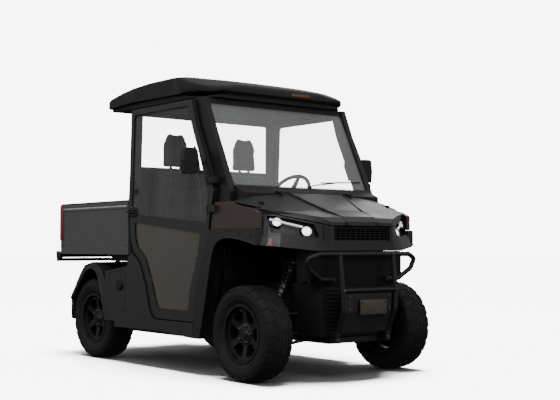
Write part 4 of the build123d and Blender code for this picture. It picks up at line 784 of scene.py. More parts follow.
def guard_fittings():
    """Bolts of the guard and its panel, and the blank plate in its rim."""
    form = Form()
    for z, y in ((862, -1589), (618, -1627)):
        form.bolts([(-246, y, z), (246, y, z)], (0, -1, 0.05), 8, 5)
    form.bolts([(x, -1546, z) for x in (-235, 235) for z in (284, 322)], (0, -1, 0), 8, 5)
    for x in (-186, 186):
        form.bolts([(x, -1607, 575), (x, -1607, 490)], (0, -1, 0), 7, 4)
        form.bolt((x, -1547, 340), (0, -1, -0.35), 7, 4)
    form.becomes("guard_bolts", "chassis", "spring_steel", zinc)
    plate = Form()
    plate.slab(PLATE_OUTLINE, PLATE_Y, PLATE_Y + 3, "Y", 0.8, 9)
    plate.box((-80, -1614, 470), (140, -1600, 480), 2)
    plate.box((-80, -1614, 530), (140, -1602, 540), 2)
    plate.becomes("blank_plate", "chassis", "side_brown", plate_paint)
    rim = Form()
    rim.ring(PLATE_OUTLINE, 0, 5, 2.5, 9, 0.8)
    rim.place(Matrix.Translation(metres((0, PLATE_Y, 0))) @ TO_THE_FRONT)
    rim.bolts([(-78, PLATE_Y, 535), (137, PLATE_Y, 535)], (0, -1, 0), 5, 2.5)
    rim.becomes("plate_rim", "chassis", "black_plastic")


# ------------------------------------------------------------------ roof
# side lines of the roof: a place along the vehicle, and the height or the half width there
ROOF_TOP = [(-668, 2086), (-655, 2104), (-620, 2118), (-560, 2138), (-478, 2158), (-400, 2176), (-319, 2188),
            (-211, 2189), (71, 2188), (369, 2170), (556, 2138), (660, 2118), (690, 2110), (700, 2104)]
ROOF_LOW = [(-668, 2046), (-640, 2030), (-560, 2036), (300, 2044), (420, 2040), (700, 2026)]
ROOF_PLAN = [(-668, 545), (-658, 580), (-630, 622), (-596, 660), (-547, 695), (-480, 728), (-420, 735),
             (560, 735), (660, 734), (690, 728), (700, 716)]
RAIL_TOP = [(-700, 2050), (300, 2060), (700, 2040)]
RAIL_LOW = [(-700, 1998), (372, 1998), (420, 2004), (700, 2006)]
ROOF_MIDDLE_Y = 16.0
ROOF_HALF_LENGTH = 684.0


def between(table, value):
    """The height in a table at a value, straight from point to point."""
    for (low, first), (high, second) in zip(table, table[1:]):
        if value <= high:
            return first + (second - first) * max(0.0, (value - low) / (high - low))
    return table[-1][1]


def side_fall(x, y):
    """How far the roof falls away towards its sides, and more at the brow's corners."""
    out = abs(x)
    corner = min(1.0, max(0.0, (out - 380) / 260)) * min(1.0, max(0.0, (-y - 340) / 200))
    return 10 * (out / 735) ** 2 + 12 * max(0.0, (out - 590) / 145) ** 2 + 34 * corner


def roof_cover(name, shrink, top_table, edge_drop, low_table, replaces=()):
    """A crowned panel on the roof's plan: its top follows the side line and falls away to the sides."""
    form = Form()
    work = form.mesh
    bmesh.ops.create_grid(work, x_segments=30, y_segments=44, size=1.0)
    for vert in work.verts:
        across, along = vert.co.x, vert.co.y
        eased = math.sin(along * math.pi / 2) * 0.45 + along * 0.55
        y = ROOF_MIDDLE_Y + eased * (ROOF_HALF_LENGTH - shrink)
        x = across * (between(ROOF_PLAN, y) - shrink)
        z = between(top_table, y) - side_fall(x, y)
        vert.co = metres((x, y, max(z, between(low_table, y) + edge_drop)))
    grown = bmesh.ops.extrude_face_region(work, geom=work.faces[:])["geom"]
    for vert in verts_of(grown):
        vert.co.z = between(low_table, vert.co.y / MM) * MM
    form.soften([edge for edge in work.edges if edge.calc_face_angle(0.0) > math.radians(40)], 13, 4)
    form.becomes(name, "chassis", "body_charcoal", roof_finish, replaces=replaces, sharp=math.radians(50))


def roof_pieces():
    """Lid, the rail it sits on, drip seam, the small cap on the brow and the clearance lamp."""
    roof_cover("roof_lid", 0, ROOF_TOP, 26, ROOF_LOW, replaces=("roof",))
    roof_cover("roof_rail", 30, RAIL_TOP, 6, RAIL_LOW)
    form = Form()
    for x in (-690, 690):
        form.tube([(x, y, between(ROOF_LOW, y) - 3) for y in (-470, -300, 0, 300, 560)], 4, 8)
    form.bolts([(x, 640, 2100 - abs(x) * 0.02) for x in (-520, -260, 0, 260, 520)], (0, 0.25, 1), 7, 3)
    form.becomes("roof_seam", "chassis", "black_plastic", seal)
    cap = Form()
    cap.lathe([(0, 0), (0, 34), (6, 34), (14, 26), (18, 12), (19, 0)], (-176, -545, 2128), (0, -0.2, 1), 28)
    cap.becomes("roof_cap", "chassis", "black_plastic")
    lamp_bar = Form().box((84, -671, 2056), (270, -655, 2082), 6, 3)
    lamp_bar.becomes("roof_marker", "chassis", "amber", marker_lens)
    base = Form().box((74, -669, 2050), (280, -650, 2088), 6, 3)
    base.becomes("roof_marker_base", "chassis", "black_plastic")


# ------------------------------------------------------------------ lamps
# place, direction and radius of each bright lens
LENS_SPOTS = [((584, -1320, 1076), (0.50, -0.79, 0.35), 31), ((424, -1440, 1015), (0.48, -0.84, 0.25), 33)]


def lamp_insides():
    """Reflector bowls, bright lenses, prism blades and the day strip inside each headlamp."""
    bowls, glow, strip, clear = Form(), Form(), Form(), Form()
    for place, direction, radius in LENS_SPOTS:
        spot = Vector(place) + Vector(direction).normalized()
        x, y, z = place
        bowls.lathe([(0, radius - 4), (4, radius), (9, radius + 2), (12, radius), (9, radius - 3),
                     (2, radius - 8)], spot, direction, 40)
        glow.lathe([(1, 0), (1, radius - 9), (5, radius - 10), (10, radius - 17), (12.5, 0)], spot,
                   direction, 36)
        glow.box((x - 44, y + 2, z + 4), (x - 20, y + 10, z + 16), 4, 3,
                 Matrix.Rotation(math.radians(38), 3, "Z"))
        for blade in range(-18, 19, 9):
            clear.box((x + blade - 1, y - 14, z - radius + 8), (x + blade + 1, y - 8, z + radius - 8), 0.4, 1)
    strip.tube([(622, -1290, 1098), (560, -1352, 1078), (500, -1402, 1058), (452, -1434, 1046)], 7, 12)
    bowls.other_side().becomes("lamp_bowls", "chassis", "lamp", reflector)
    glow.other_side().becomes("lamp_lenses", "chassis", "lamp", lamp_glow)
    strip.other_side().becomes("lamp_strips", "chassis", "lamp", strip_glow)
    clear.other_side().becomes("lamp_prisms", "chassis", "lamp", clear_lens)


def tail_details():
    """Ribbed lens wraps on the bed's rear corners, with their clear reversing panes and screws."""
    wraps, white, screws = Form(), Form(), Form()
    wraps.box((700, 1474, 968), (727, 1531, 1270), 5, 3)
    for z in range(980, 1255, 11):
        wraps.box((704, 1529, z), (722, 1533, z + 3), 0.8, 1)
        wraps.box((726, 1480, z), (728.5, 1526, z + 3), 0.8, 1)
    white.box((686, 1524, 912), (716, 1531, 960), 3, 2)
    screws.bolts([(701, 1527, z) for z in (906, 964, 1262)], (0, 1, 0), 4, 2)
    wraps.other_side().becomes("tail_lenses", "bed", "red", tail_red)
    white.other_side().becomes("reversing_lenses", "bed", "red", clear_lens)
    screws.other_side().becomes("tail_screws", "bed", "spring_steel", zinc)


# ------------------------------------------------------------------ painted shade: dark panels in the front bay
def shade_panels():
    """Painted shade: near-black moulded panels behind the guard, over the frame and inside the wheel houses.
    """
    form = Form()
    form.slab([(-425, 700), (-332, 640), (332, 640), (425, 700), (425, 884), (-425, 884)], -1488, -1484, "Y",
              1.2, 12)
    form.slab([(-330, 300), (330, 300), (330, 652), (-330, 652)], -1486, -1482, "Y", 1.2, 12)
    form.box((-258, -1494, 942), (258, -1490, 1052), 1.5)
    for z in range(330, 640, 26):
        form.box((-300, -1492, z), (300, -1486, z + 6), 1.5)
    wing = Form()
    wing.slab([(-1484, 300), (-830, 300), (-830, 660), (-1484, 660)], 328, 332, "X", 1.2, 14)
    wing.box((330, -1484, 655), (430, -1410, 659), 1.5)
    wing.slab([(-1484, 700), (-1340, 640), (-1340, 880), (-1484, 884)], 423, 427, "X", 1.0, 10)
    form.add(wing.other_side())
    form.becomes("bay_shade_panels", "chassis", "black_plastic", bay_painted_shade)
    clips = Form()
    clips.bolts([(x, -1488, z) for x in (360, 400) for z in (720, 860)], (0, -1, 0), 6, 3)
    clips.other_side().becomes("shade_panel_clips", "chassis", "black_plastic", seal)


# ------------------------------------------------------------------ seats
CLOTH_STEPS = 20
NO_SEAM = 99.0


def settle(piece):
    """Makes the live modifiers part of the mesh."""
    depsgraph = bpy.context.evaluated_depsgraph_get()
    baked = bpy.data.meshes.new_from_object(piece.evaluated_get(depsgraph))
    piece.modifiers.clear()
    old = piece.data
    piece.data = baked
    bpy.data.meshes.remove(old)


def swell(piece, voxel, pressure, cap):
    """Blows a cushion up with cloth, keeping every point within a reach of where it began."""
    bpy.context.view_layer.objects.active = piece
    remesh = piece.modifiers.new("skin", "REMESH")
    remesh.mode = "VOXEL"
    remesh.voxel_size = voxel * MM
    settle(piece)
    start = [vert.co.copy() for vert in piece.data.vertices]
    filling = piece.modifiers.new("filling", "CLOTH").settings
    filling.quality = 5
    filling.use_pressure = True
    filling.uniform_pressure_force = pressure
    filling.effector_weights.gravity = 0.0
    filling.tension_stiffness = 18.0
    filling.compression_stiffness = 18.0
    filling.bending_stiffness = 2.0
    scene = bpy.context.scene
    for step in range(1, CLOTH_STEPS + 1):
        scene.frame_set(step)
    settle(piece)
    scene.frame_set(1)
    for vert, place in zip(piece.data.vertices, start):
        move = vert.co - place
        if move.length > cap * MM:
            vert.co = place + move.normalized() * cap * MM


def finer(piece):
    """One round of subdivision."""
    smooth = piece.modifiers.new("finer", "SUBSURF")
    smooth.levels = 1
    smooth.render_levels = 1
    settle(piece)


def channel(piece, distance, depth, width):
    """Presses a sewn channel where a distance function of a point, in millimetres, is near zero."""
    normals = [vert.normal.copy() for vert in piece.data.vertices]
    for vert, normal in zip(piece.data.vertices, normals):
        off = distance(vert.co / MM, normal) / width
        if abs(off) < 3:
            vert.co -= normal * depth * MM * math.exp(-off * off)


def narrow(piece, height, rise, amount, power):
    """Draws each seat's pad in towards its own middle above a height."""
    for vert in piece.data.vertices:
        middle = SEAT_X * MM if vert.co.x > 0 else -SEAT_X * MM
        share = max(0.0, (vert.co.z / MM - height) / rise)
        vert.co.x = middle + (vert.co.x - middle) * (1 - amount * share ** power)


def seat_pad(name, node, outline, half_width, corner, cap, voxel, waist=0.0):
    """Both seats' pads of one kind: a side outline made wide, its corners rounded, then filled."""
    form = Form()
    for middle in (-SEAT_X, SEAT_X):
        form.slab(outline, middle - half_width, middle + half_width, "X", corner, corner * 0.8, 4)
    piece = form.becomes(name, "chassis", "seat_cover", replaces=(node,))
    swell(piece, voxel, 4.0, cap)
    if waist:
        narrow(piece, 1180, 365, waist, 2)
    finer(piece)
    for face in piece.data.polygons:
        face.use_smooth = True
    return piece


def off_seat(x):
    """How far a point is from its seat's own middle line."""
    return abs(abs(x) - SEAT_X)


def seats():
    """Cushions, backs and headrests with their piping and cross seams."""
    cushions = seat_pad("cushions", "seat_cushions",
                        [(-118, 766), (-126, 850), (-112, 888), (-66, 900), (178, 872), (184, 770)],
                        255, 24, 24, 8.0)
    channel(cushions, lambda p, n: off_seat(p.x) - 168 if n.z > 0.3 or n.y < -0.5 else NO_SEAM, 9.0, 7.0)
    channel(cushions, lambda p, n: p.z - 838 if n.z < 0.75 else NO_SEAM, 6.0, 5.0)
    for seam in (-40, 40, 120):
        channel(cushions, lambda p, n, y=seam: p.y - y if n.z > 0.5 and off_seat(p.x) < 160 else NO_SEAM,
                5.0, 6.0)
    backs = seat_pad("seat_backrests", "seat_backs",
                     [(206, 768), (300, 768), (312, 1480), (296, 1530), (248, 1534), (212, 1490),
                      (204, 1300)],
                     240, 22, 22, 9.6, 0.26)
    channel(backs, lambda p, n: off_seat(p.x) - 150 + max(0.0, p.z - 1180) * 0.16
            if n.y < -0.2 or n.z > 0.4 else NO_SEAM, 9.0, 7.0)
    channel(backs, lambda p, n: p.y - 262 if abs(n.x) > 0.35 or n.z > 0.6 else NO_SEAM, 5.0, 5.0)
    for seam in (900, 1020, 1140, 1260, 1380):
        channel(backs, lambda p, n, z=seam: p.z - z if n.y < -0.4 and off_seat(p.x) < 130 else NO_SEAM,
                5.0, 6.0)
    rests = seat_pad("head_pads", "headrests",
                     [(256, 1558), (252, 1740), (272, 1824), (304, 1824), (322, 1740), (318, 1558),
                      (288, 1548)],
                     100, 24, 12, 6.0)
    narrow(rests, 1690, 130, 0.40, 2.2)
    channel(rests, lambda p, n: p.y - 286 if abs(n.x) > 0.3 or abs(n.z) > 0.5 else NO_SEAM, 4.0, 4.5)


def seat_hardware():
    """Headrest posts with collars, shells behind the backs, runners and belt buckles."""
    posts, shell, belts = Form(), Form(), Form()
    for middle in (-SEAT_X, SEAT_X):
        for x in (middle - 46, middle + 46):
            posts.tube([(x, 282, 1500), (x, 282, 1600)], 6.5, 12, smooth=False)
            shell.lathe([(0, 0), (0, 12), (14, 11), (16, 0)], (x, 282, 1536), (0, 0, 1), 20)
        shell.slab([(middle - 200, 790), (middle + 200, 790), (middle + 158, 1460), (middle - 158, 1460)],
                   312, 317, "Y", 1.5, 30)
        for x in (middle - 150, middle + 130):
            shell.box((x, -100, 752), (x + 20, 170, 764), 2)
        belts.tube([(middle + 268, 176, 790), (middle + 262, 150, 850), (middle + 258, 130, 905)], 7, 10)
        belts.box((middle + 246, 108, 900), (middle + 272, 128, 966), 4, 3)
    posts.becomes("head_posts", "chassis", "spring_steel", damper_finish)
    shell.becomes("seat_shells", "chassis", "black_plastic")
    belts.becomes("belt_buckles", "chassis", "black_plastic", seal)


# ------------------------------------------------------------------ doors
DOOR_LINE = [(-543, 374), (-555, 403), (-580, 604), (-617, 712), (-666, 833), (-727, 996), (-751, 1137),
             (-799, 1311), (-690, 1560), (-575, 1800), (-515, 1985), (320, 1985), (344, 1453), (357, 1280),
             (323, 966), (277, 872), (172, 795), (83, 621), (23, 433), (-20, 385), (-62, 374)]
RIVETS = [(-590, 980), (-560, 830), (-508, 700), (-474, 560), (-455, 430), (-270, 432), (-90, 432), (0, 560),
          (60, 700), (140, 822), (246, 940), (252, 1090), (-100, 1118), (-300, 1090), (-500, 1052)]
MIRROR_GLASS = [(810, 1438), (892, 1438), (901, 1520), (890, 1602), (814, 1602), (801, 1520)]
HINGES_Z = (1180, 1385)
MIRROR_Z = 1520


def door_seals(name, body, side):
    """Rubber beads round the window, inside and out, and round the lower pane."""
    form = Form()
    form.ring(DOOR_WINDOW, DOOR_OUT - 12, 15, 13, 22, 2.5)
    form.ring(DOOR_PANE, DOOR_OUT - 13, 13, 12, 20, 2.5)
    form.ring(DOOR_WINDOW, PILLAR_X + 6, 13, 8, 22, 2)
    form.flip(side).becomes(name, body, "black_plastic", seal)


def door_edge(name, body, side):
    """The trim that is pushed on round a door's edge."""
    form = Form().ring(DOOR_LINE, DOOR_OUT - 4, 13, 5, 14, 2)
    form.flip(side).becomes(name, body, "black_plastic", edge_trim)


def door_handle(name, body, side):
    """Outer handle with its lock, window catch, inner grab and the bolted hinge covers."""
    form = Form()
    form.box((DOOR_OUT + 1, 232, 1146), (DOOR_OUT + 11, 352, 1220), 7, 4)
    form.tube([(DOOR_OUT + 8, 244, 1196), (DOOR_OUT + 30, 262, 1198), (DOOR_OUT + 34, 290, 1198),
               (DOOR_OUT + 30, 322, 1196), (DOOR_OUT + 8, 338, 1192)], 8.5, 12)
    form.lathe([(0, 0), (0, 13), (5, 12), (6, 0)], (DOOR_OUT + 10, 330, 1165), (1, 0, 0), 24)
    form.box((DOOR_OUT - 2, 232, 1330), (DOOR_OUT + 9, 268, 1362), 4, 3)
    form.box((PILLAR_X - 4, 60, 1110), (PILLAR_X + 6, 230, 1132), 4, 3)
    for z in HINGES_Z:
        form.box((DOOR_OUT - 1, -782, z - 34), (DOOR_OUT + 5, -716, z + 34), 5, 3)
        form.bolts([(DOOR_OUT + 6, y, z + up) for y in (-772, -730) for up in (9, -9)], (1, 0, 0), 6.5, 4)
    form.flip(side).becomes(name, body, "black_plastic", edge_trim)


def door_rivets(name, body, side):
    """Domed rivets round the lower pane."""
    form = Form()
    for y, z in RIVETS:
        form.lathe([(0, 0), (0, 5), (1.6, 4.4), (2.6, 2.6), (3, 0)], (DOOR_OUT - 0.5, y, z), (1, 0, 0), 12)
    form.flip(side).becomes(name, body, "black_plastic", edge_trim)


def mirror_glass(name, body, side):
    """The silvered face of a door's mirror."""
    form = Form().slab(MIRROR_GLASS, -648, -645, "Y", 0.8, 12)
    form.flip(side).becomes(name, body, "clear_glass", mirror_face)


def mirror_arm(name, body, side):
    """The arm of a mirror and its foot on the door."""
    form = Form()
    form.tube([(DOOR_OUT + 10, -603, MIRROR_Z), (DOOR_OUT + 46, -612, MIRROR_Z),
               (DOOR_OUT + 70, -640, MIRROR_Z)], 15, 12)
    form.lathe([(0, 0), (0, 20), (8, 20), (14, 15), (14, 0)], (DOOR_OUT + 7, -602, MIRROR_Z), (1, 0, 0), 24)
    form.flip(side).becomes(name, body, "black_plastic", edge_trim)


def doors():
    """What is fastened to each door."""
    kinds = {"door_seals": door_seals, "door_edge": door_edge, "door_handle": door_handle,
             "door_rivets": door_rivets, "mirror_face": mirror_glass, "mirror_arm": mirror_arm}
    for side_name, side in SIDES.items():
        for kind, make in kinds.items():
            make(f"{kind}_{side_name}", "door_" + side_name, side)


# ------------------------------------------------------------------ brakes
def rotor(place, wheel, side):
    """A drilled brake rotor in the wheel."""
    form = Form()
    form.lathe([(12, 54), (12, 112), (14, 114), (18, 114), (20, 112), (20, 54), (12, 54)], steps=56)
    for hole, angle in enumerate(angles(18)):
        radius = 76 if hole % 2 else 94
        form.lathe([(0, 0), (0, 4), (1.4, 4.2), (1.4, 3), (0.4, 0)],
                   (19.6, radius * math.cos(angle), radius * math.sin(angle)), steps=8)
    form.flip(side).place(place).becomes("rotor_" + wheel, "wheel_" + wheel, "spring_steel", rotor_steel)


def shield(place, wheel, carrier, side):
    """A dust shield with its caliper on the carrier."""
    form = Form()
    form.lathe([(-8, 52), (-8, 150), (-14, 160), (-13, 164), (-10, 165), (-5, 154), (-5, 52), (-8, 52)],
               steps=56)
    form.box((-22, 70, 20), (26, 120, 84), 8, 3)
    form.bolts([(-22, 95, 34), (-22, 95, 70)], (-1, 0, 0), 6, 8)
    # the shield and caliper take the bay's near-black painted shade
    form.flip(side).place(place).becomes("brake_" + wheel, carrier, "cast_metal", bay_painted_shade)


def brakes():
    """A rotor and a shield at each wheel."""
    for end, (half_track, axle_y, _) in AXLES.items():
        for side_name, side in SIDES.items():
            place = Matrix.Translation(metres((side * half_track, axle_y, WHEEL_Z)))
            rotor(place, f"{end}_{side_name}", side)
            shield(place, f"{end}_{side_name}", "knuckle_" + side_name if end == "front" else "chassis", side)


# ------------------------------------------------------------------ hood and screen
SCREEN_FOOT = Vector((0, -897, 1345))
SCREEN_HEAD = Vector((0, -601, 1955))
SCREEN_OUT = Vector((0, -0.9, 0.436))
SCREEN_LEAN = math.atan2(SCREEN_HEAD.y - SCREEN_FOOT.y, SCREEN_HEAD.z - SCREEN_FOOT.z)


def hood_details():
    """Painted shade as dark strips along the creases of the raised middle, rubber catches, stops and the rear
    edge seal.
    """
    # painted shade: near-black strips laid along the hood's two creases
    crease = Form()
    crease.tube([(254, -1046, 1294), (168, -1342, 1166.5), (148, -1500, 1119.5), (144, -1556, 1063)], 4.2, 8)
    crease.tube([(262, -1046, 1292), (176, -1342, 1165), (156, -1500, 1118.5), (152, -1554, 1062)], 2.2, 8)
    crease.other_side().becomes("hood_crease_shade", "hood", "black_plastic", edge_trim)
    catch = Form()
    for x in (-600, 600):
        catch.box((x - 12, -1190, 1206), (x + 12, -1140, 1222), 5, 3)
    for x in (-330, 330):
        catch.lathe([(0, 0), (0, 9), (5, 8), (7, 5), (8, 0)], (x, -1052, 1290), (0, 0, 1), 20)
    catch.becomes("hood_catches", "hood", "black_plastic", edge_trim)
    lip = Form()
    lip.tube([(-636, -1031, 1262), (-560, -1034, 1274), (-262, -1036, 1297), (262, -1036, 1297),
              (560, -1034, 1274), (636, -1031, 1262)], 4, 8, smooth=False)
    lip.becomes("hood_seal", "hood", "black_plastic", seal)


def screen_point(share_up, x, lift):
    """A point on the windscreen's outer face, from its foot to its head."""
    return SCREEN_FOOT.lerp(SCREEN_HEAD, share_up) + Vector((x, 0, 0)) + SCREEN_OUT * lift


def window_borders():
    """The rubber borders of the windscreen and of the rear window."""
    border = Form()
    border.ring([(-636, 0), (636, 0), (636, 672), (-636, 672)], 0, 22, 6, 34, 2)
    border.place(Matrix.Translation(metres((0, -900, 1348))) @ Matrix.Rotation(-SCREEN_LEAN, 4, "X")
                 @ TO_THE_FRONT)
    border.becomes("screen_border", "chassis", "black_plastic", seal)
    rear = Form()
    rear.ring([(-640, 1547), (640, 1547), (640, 1948), (-640, 1948)], 0, 22, 6, 30, 2)
    rear.place(Matrix.Translation(metres((0, 351, 0))) @ TO_THE_FRONT)
    rear.becomes("rear_window_seal", "chassis", "black_plastic", seal)


def wiper():
    """The wiper's arm, its blade in its holder, and its pivot."""
    form = Form()
    form.tube([screen_point(0.0, 60, 12), screen_point(0.02, 60, 16), screen_point(0.05, 260, 20),
               screen_point(0.085, 390, 14)], 4.5, 10)
    form.tube([screen_point(0.07, 180, 9), screen_point(0.085, 390, 11), screen_point(0.10, 600, 9)], 3.2, 8)
    form.tube([screen_point(0.066, 180, 5), screen_point(0.082, 390, 5), screen_point(0.097, 600, 5)], 2.2, 6)
    form.lathe([(0, 0), (0, 15), (12, 14), (18, 8), (18, 0)], screen_point(-0.01, 60, 6), SCREEN_OUT, 24)
    form.becomes("wiper", "chassis", "black_plastic", edge_trim)


# ------------------------------------------------------------------ cab inside
GAUGE_Z = 1222
GAUGE_MARKS = 52
FLOOR_Z = 351
WHEEL_HUB = Vector((SEAT_X, -330, 1330))
COLUMN_LEAN = math.radians(38)
GRIP_RADIUS = 178


def headliner():
    """The pressed roof lining with two ribs, the sun visors and the lamp between them."""
    form = Form()
    form.slab([(-632, -540), (632, -540), (632, 318), (-632, 318)], 1984, 1993, "Z", 3, 40)
    for x in (-300, 300):
        form.box((x - 20, -480, 1978), (x + 20, 260, 1986), 4, 3)
    form.becomes("headliner", "chassis", "seat_cover", liner_cloth)
    visor = Form()
    for x in (-330, 330):
        visor.box((x - 190, -530, 1962), (x + 190, -400, 1976), 6, 4)
        visor.tube([(x - 190, -528, 1972), (x - 230, -528, 1980)], 4, 8)
    visor.box((-60, -520, 1962), (60, -440, 1986), 8, 3)
    visor.becomes("visors", "chassis", "black_plastic")


def dash_details():
    """Instrument face with its marks, vents, switches, glovebox latch and grab bar of the dashboard."""
    trim, gauge, switches = Form(), Form(), Form()
    back = (0, 1, 0.06)
    trim.lathe([(0, 66), (0, 74), (8, 74), (12, 70), (8, 62), (0, 66)], (SEAT_X, -603, GAUGE_Z), back, 48)
    gauge.lathe([(0, 0), (0, 64), (3, 64), (5, 60), (5, 0)], (SEAT_X, -604, GAUGE_Z), back, 48)
    for angle in (math.radians(degrees) for degrees in range(-120, 121, 24)):
        x, z = SEAT_X + GAUGE_MARKS * math.sin(angle), GAUGE_Z - 1 + GAUGE_MARKS * math.cos(angle)
        trim.box((x - 1, -598, z), (x + 1, -596.5, z + 8), 0.4, 1)
    for x in (-560, -120, 160, 560):
        trim.box((x - 44, -606, 1150), (x + 44, -594, 1200), 5, 3)
        for z in range(1156, 1201, 9):
            trim.box((x - 38, -596, z), (x + 38, -588, z + 3), 1, 1)
    for x in range(-60, 77, 34):
        switches.box((x, -606, 1090), (x + 24, -592, 1126), 4, 3)
        switches.box((x + 3, -596, 1096), (x + 21, -586, 1108), 2, 2, Matrix.Rotation(0.2, 3, "X"))
    switches.lathe([(0, 0), (0, 13), (10, 12), (12, 0)], (175, -600, 1105), back, 20)
    switches.box((-400, -634, 1176), (-360, -622, 1192), 4, 3)
    trim.tube([(-590, -600, 1215), (-590, -560, 1222), (-540, -548, 1224), (-230, -548, 1224),
               (-180, -560, 1222), (-180, -600, 1215)], 10, 12)
    trim.becomes("dash_trim", "chassis", "black_plastic", edge_trim)
    gauge.becomes("gauge", "chassis", "lamp", gauge_face)
    switches.becomes("switches", "chassis", "black_plastic")


def wheel_grip():
    """Ribbed grip cover and hub pad of the steering wheel."""
    form = Form()
    up = Vector((0, math.cos(COLUMN_LEAN), math.sin(COLUMN_LEAN)))
    first = Vector((1, 0, 0))
    second = up.cross(first)
    for angle in angles(36):
        spot = WHEEL_HUB + (first * math.cos(angle) + second * math.sin(angle)) * GRIP_RADIUS
        along = second * math.cos(angle) - first * math.sin(angle)
        form.lathe([(-6, 14.2), (-4, 15.4), (4, 15.4), (6, 14.2)], spot, along, 12)
    form.lathe([(6, 0), (6, 44), (12, 42), (17, 34), (19, 0)], WHEEL_HUB, up, 36)
    form.becomes("wheel_grip", "steering_wheel", "black_plastic", edge_trim)


def floor_details():
    """Ribbed pedal rubbers, floor mats and the gear lever's boot."""
    pads = Form()
    for x, width in ((SEAT_X - 60, 44), (SEAT_X + 60, 30)):
        for rib in range(6):
            y, z = -583 + rib * 5.4, 520 + rib * 11.6
            pads.box((x - width + 4, y, z), (x + width - 4, y + 8, z + 6), 1.5, 2)
    pads.becomes("pedal_rubbers", "chassis", "black_plastic", seal)
    mats = Form()
    for low, high in ((-600, -60), (60, 600)):
        mats.slab([(low, -560), (high, -560), (high, -110), (low, -110)], FLOOR_Z, FLOOR_Z + 6, "Z", 2, 30)
        for y in range(-530, -149, 38):
            mats.box((low + 30, y, FLOOR_Z + 5), (high - 30, y + 12, FLOOR_Z + 10), 2, 2)
    mats.becomes("floor_mats", "chassis", "black_plastic", seal)
    boot = Form()
    boot.lathe([(0, 42), (6, 42), (10, 34), (16, 36), (20, 27), (26, 29), (30, 20), (38, 21), (42, 12),
                (50, 9)], (60, -598, 1138), (0, 0.6, 0.8), 28)
    boot.becomes("lever_boot", "chassis", "black_plastic", seal)


# ------------------------------------------------------------------ bed
def bed_sides():
    """Top rail caps, side beads, tie-down loops and corner bolts of the bed."""
    caps, rail, hooks = Form(), Form(), Form()
    caps.box((680, 384, 1272), (723, 1512, 1283), 5, 3)
    caps.other_side().box((-680, 382, 1272), (680, 421, 1283), 5, 3)
    # the side beads are pale grey: a painted highlight along the top rail
    rail.box((718, 408, 1228), (724, 1472, 1241), 2.5, 3)
    for y in (520, 900, 1280):
        hooks.tube([(676, y - 26, 1210), (662, y - 24, 1196), (658, y, 1186), (662, y + 24, 1196),
                    (676, y + 26, 1210)], 4.5, 10)
        hooks.box((676, y - 34, 1204), (683, y + 34, 1222), 3, 2)
    hooks.bolts([(718, y, z) for y in (430, 1460) for z in (930, 1080, 1190)], (1, 0, 0), 7, 3.5)
    caps.becomes("bed_caps", "bed", "black_plastic", edge_trim)
    rail.other_side().becomes("bed_rails", "bed", "bed_grey", rail_painted_highlight)
    hooks.other_side().becomes("bed_hooks", "bed", "spring_steel", damper_finish)


def bed_floor():
    """The ribs of the bed's floor, and the grooved step behind it."""
    ribs = Form()
    for x in range(-600, 601, 100):
        ribs.box((x - 22, 428, 875), (x + 22, 1478, 884), 4, 2)
    ribs.becomes("bed_ribs", "bed", "bed_grey")
    step = Form()
    step.slab([(1519, 850), (1524, 850), (1524, 826), (1584, 826), (1584, 820), (1519, 820)],
              -700, 700, "X", 1.5)
    for x in range(-680, 655, 46):
        step.box((x, 1530, 825), (x + 24, 1578, 829), 1.5, 2)
    step.becomes("bed_step", "bed", "frame_black")


def gate_latches():
    """The tailgate's two latches and its pull."""
    form = Form()
    for x in (-610, 610):
        form.box((x - 34, 1514, 1180), (x + 34, 1526, 1240), 5, 3)
        form.tube([(x - 20, 1524, 1210), (x - 16, 1538, 1212), (x + 16, 1538, 1212),
                   (x + 20, 1524, 1210)], 5, 10)
    form.box((-90, 1514, 1236), (90, 1522, 1262), 4, 3)
    form.becomes("gate_latches", "tailgate", "black_plastic", edge_trim)


# ------------------------------------------------------------------ body trim
FENDER_LIP = [(-1300, 925), (-1132, 966), (-924, 981), (-817, 926), (-769, 786), (-733, 610), (-697, 468),
              (-661, 325), (-640, 262)]
ARCH_LIP = [(1272, 470), (1100, 640), (1027, 719), (908, 746), (807, 682), (738, 481), (703, 322)]
CLIPS = [(-1240, 985), (-1120, 1010), (-1000, 1020), (-720, 840), (-690, 650), (-650, 480), (-620, 330),
         (450, 700), (620, 500), (640, 300), (200, 300), (-100, 300), (-400, 292)]
LIP_X = 743
FUEL_Y = 460
FUEL_Z = 610
CAP_GRIPS = 37


def body_trim():
    """Rolled lips on the arches, body clips, mud flaps and step treads."""
    lips = Form()
    for line in (FENDER_LIP, ARCH_LIP):
        lips.tube([(LIP_X, y, z) for y, z in line], 6.5, 10)
    lips.other_side().becomes("arch_lips", "chassis", "black_plastic", nose_paint)
    clips = Form()
    for y, z in CLIPS:
        clips.lathe([(0, 0), (0, 9), (2, 8.4), (4, 5), (4.5, 0)], (LIP_X + 1, y, z), (1, 0, 0), 18)
    clips.other_side().becomes("body_clips", "chassis", "black_plastic", edge_trim)
    flaps = Form()
    flaps.slab([(505, 300), (740, 300), (740, 480), (505, 480)], 1272, 1278, "Y", 2, 22)
    flaps.other_side().becomes("mud_flaps", "chassis", "black_plastic", seal)
    treads = Form()
    for y in range(-520, -77, 34):
        treads.box((694, y, 361), (738, y + 16, 366), 1.5, 2)
    treads.other_side().becomes("step_treads", "chassis", "black_plastic", seal)


def fuel_cap():
    """The fuel filler's cap with its finger grips."""
    form = Form()
    form.lathe([(0, 0), (0, 44), (6, 44), (12, 38), (18, 36), (20, 0)], (-742, FUEL_Y, FUEL_Z),
               (-1, 0, 0), 36)
    for angle in angles(12):
        form.lathe([(8, 0), (8, 4), (19, 4), (20, 0)],
                   (-742, FUEL_Y + CAP_GRIPS * math.cos(angle), FUEL_Z + CAP_GRIPS * math.sin(angle)),
                   (-1, 0, 0), 8)
    form.becomes("fuel_cap", "chassis", "black_plastic", edge_trim)


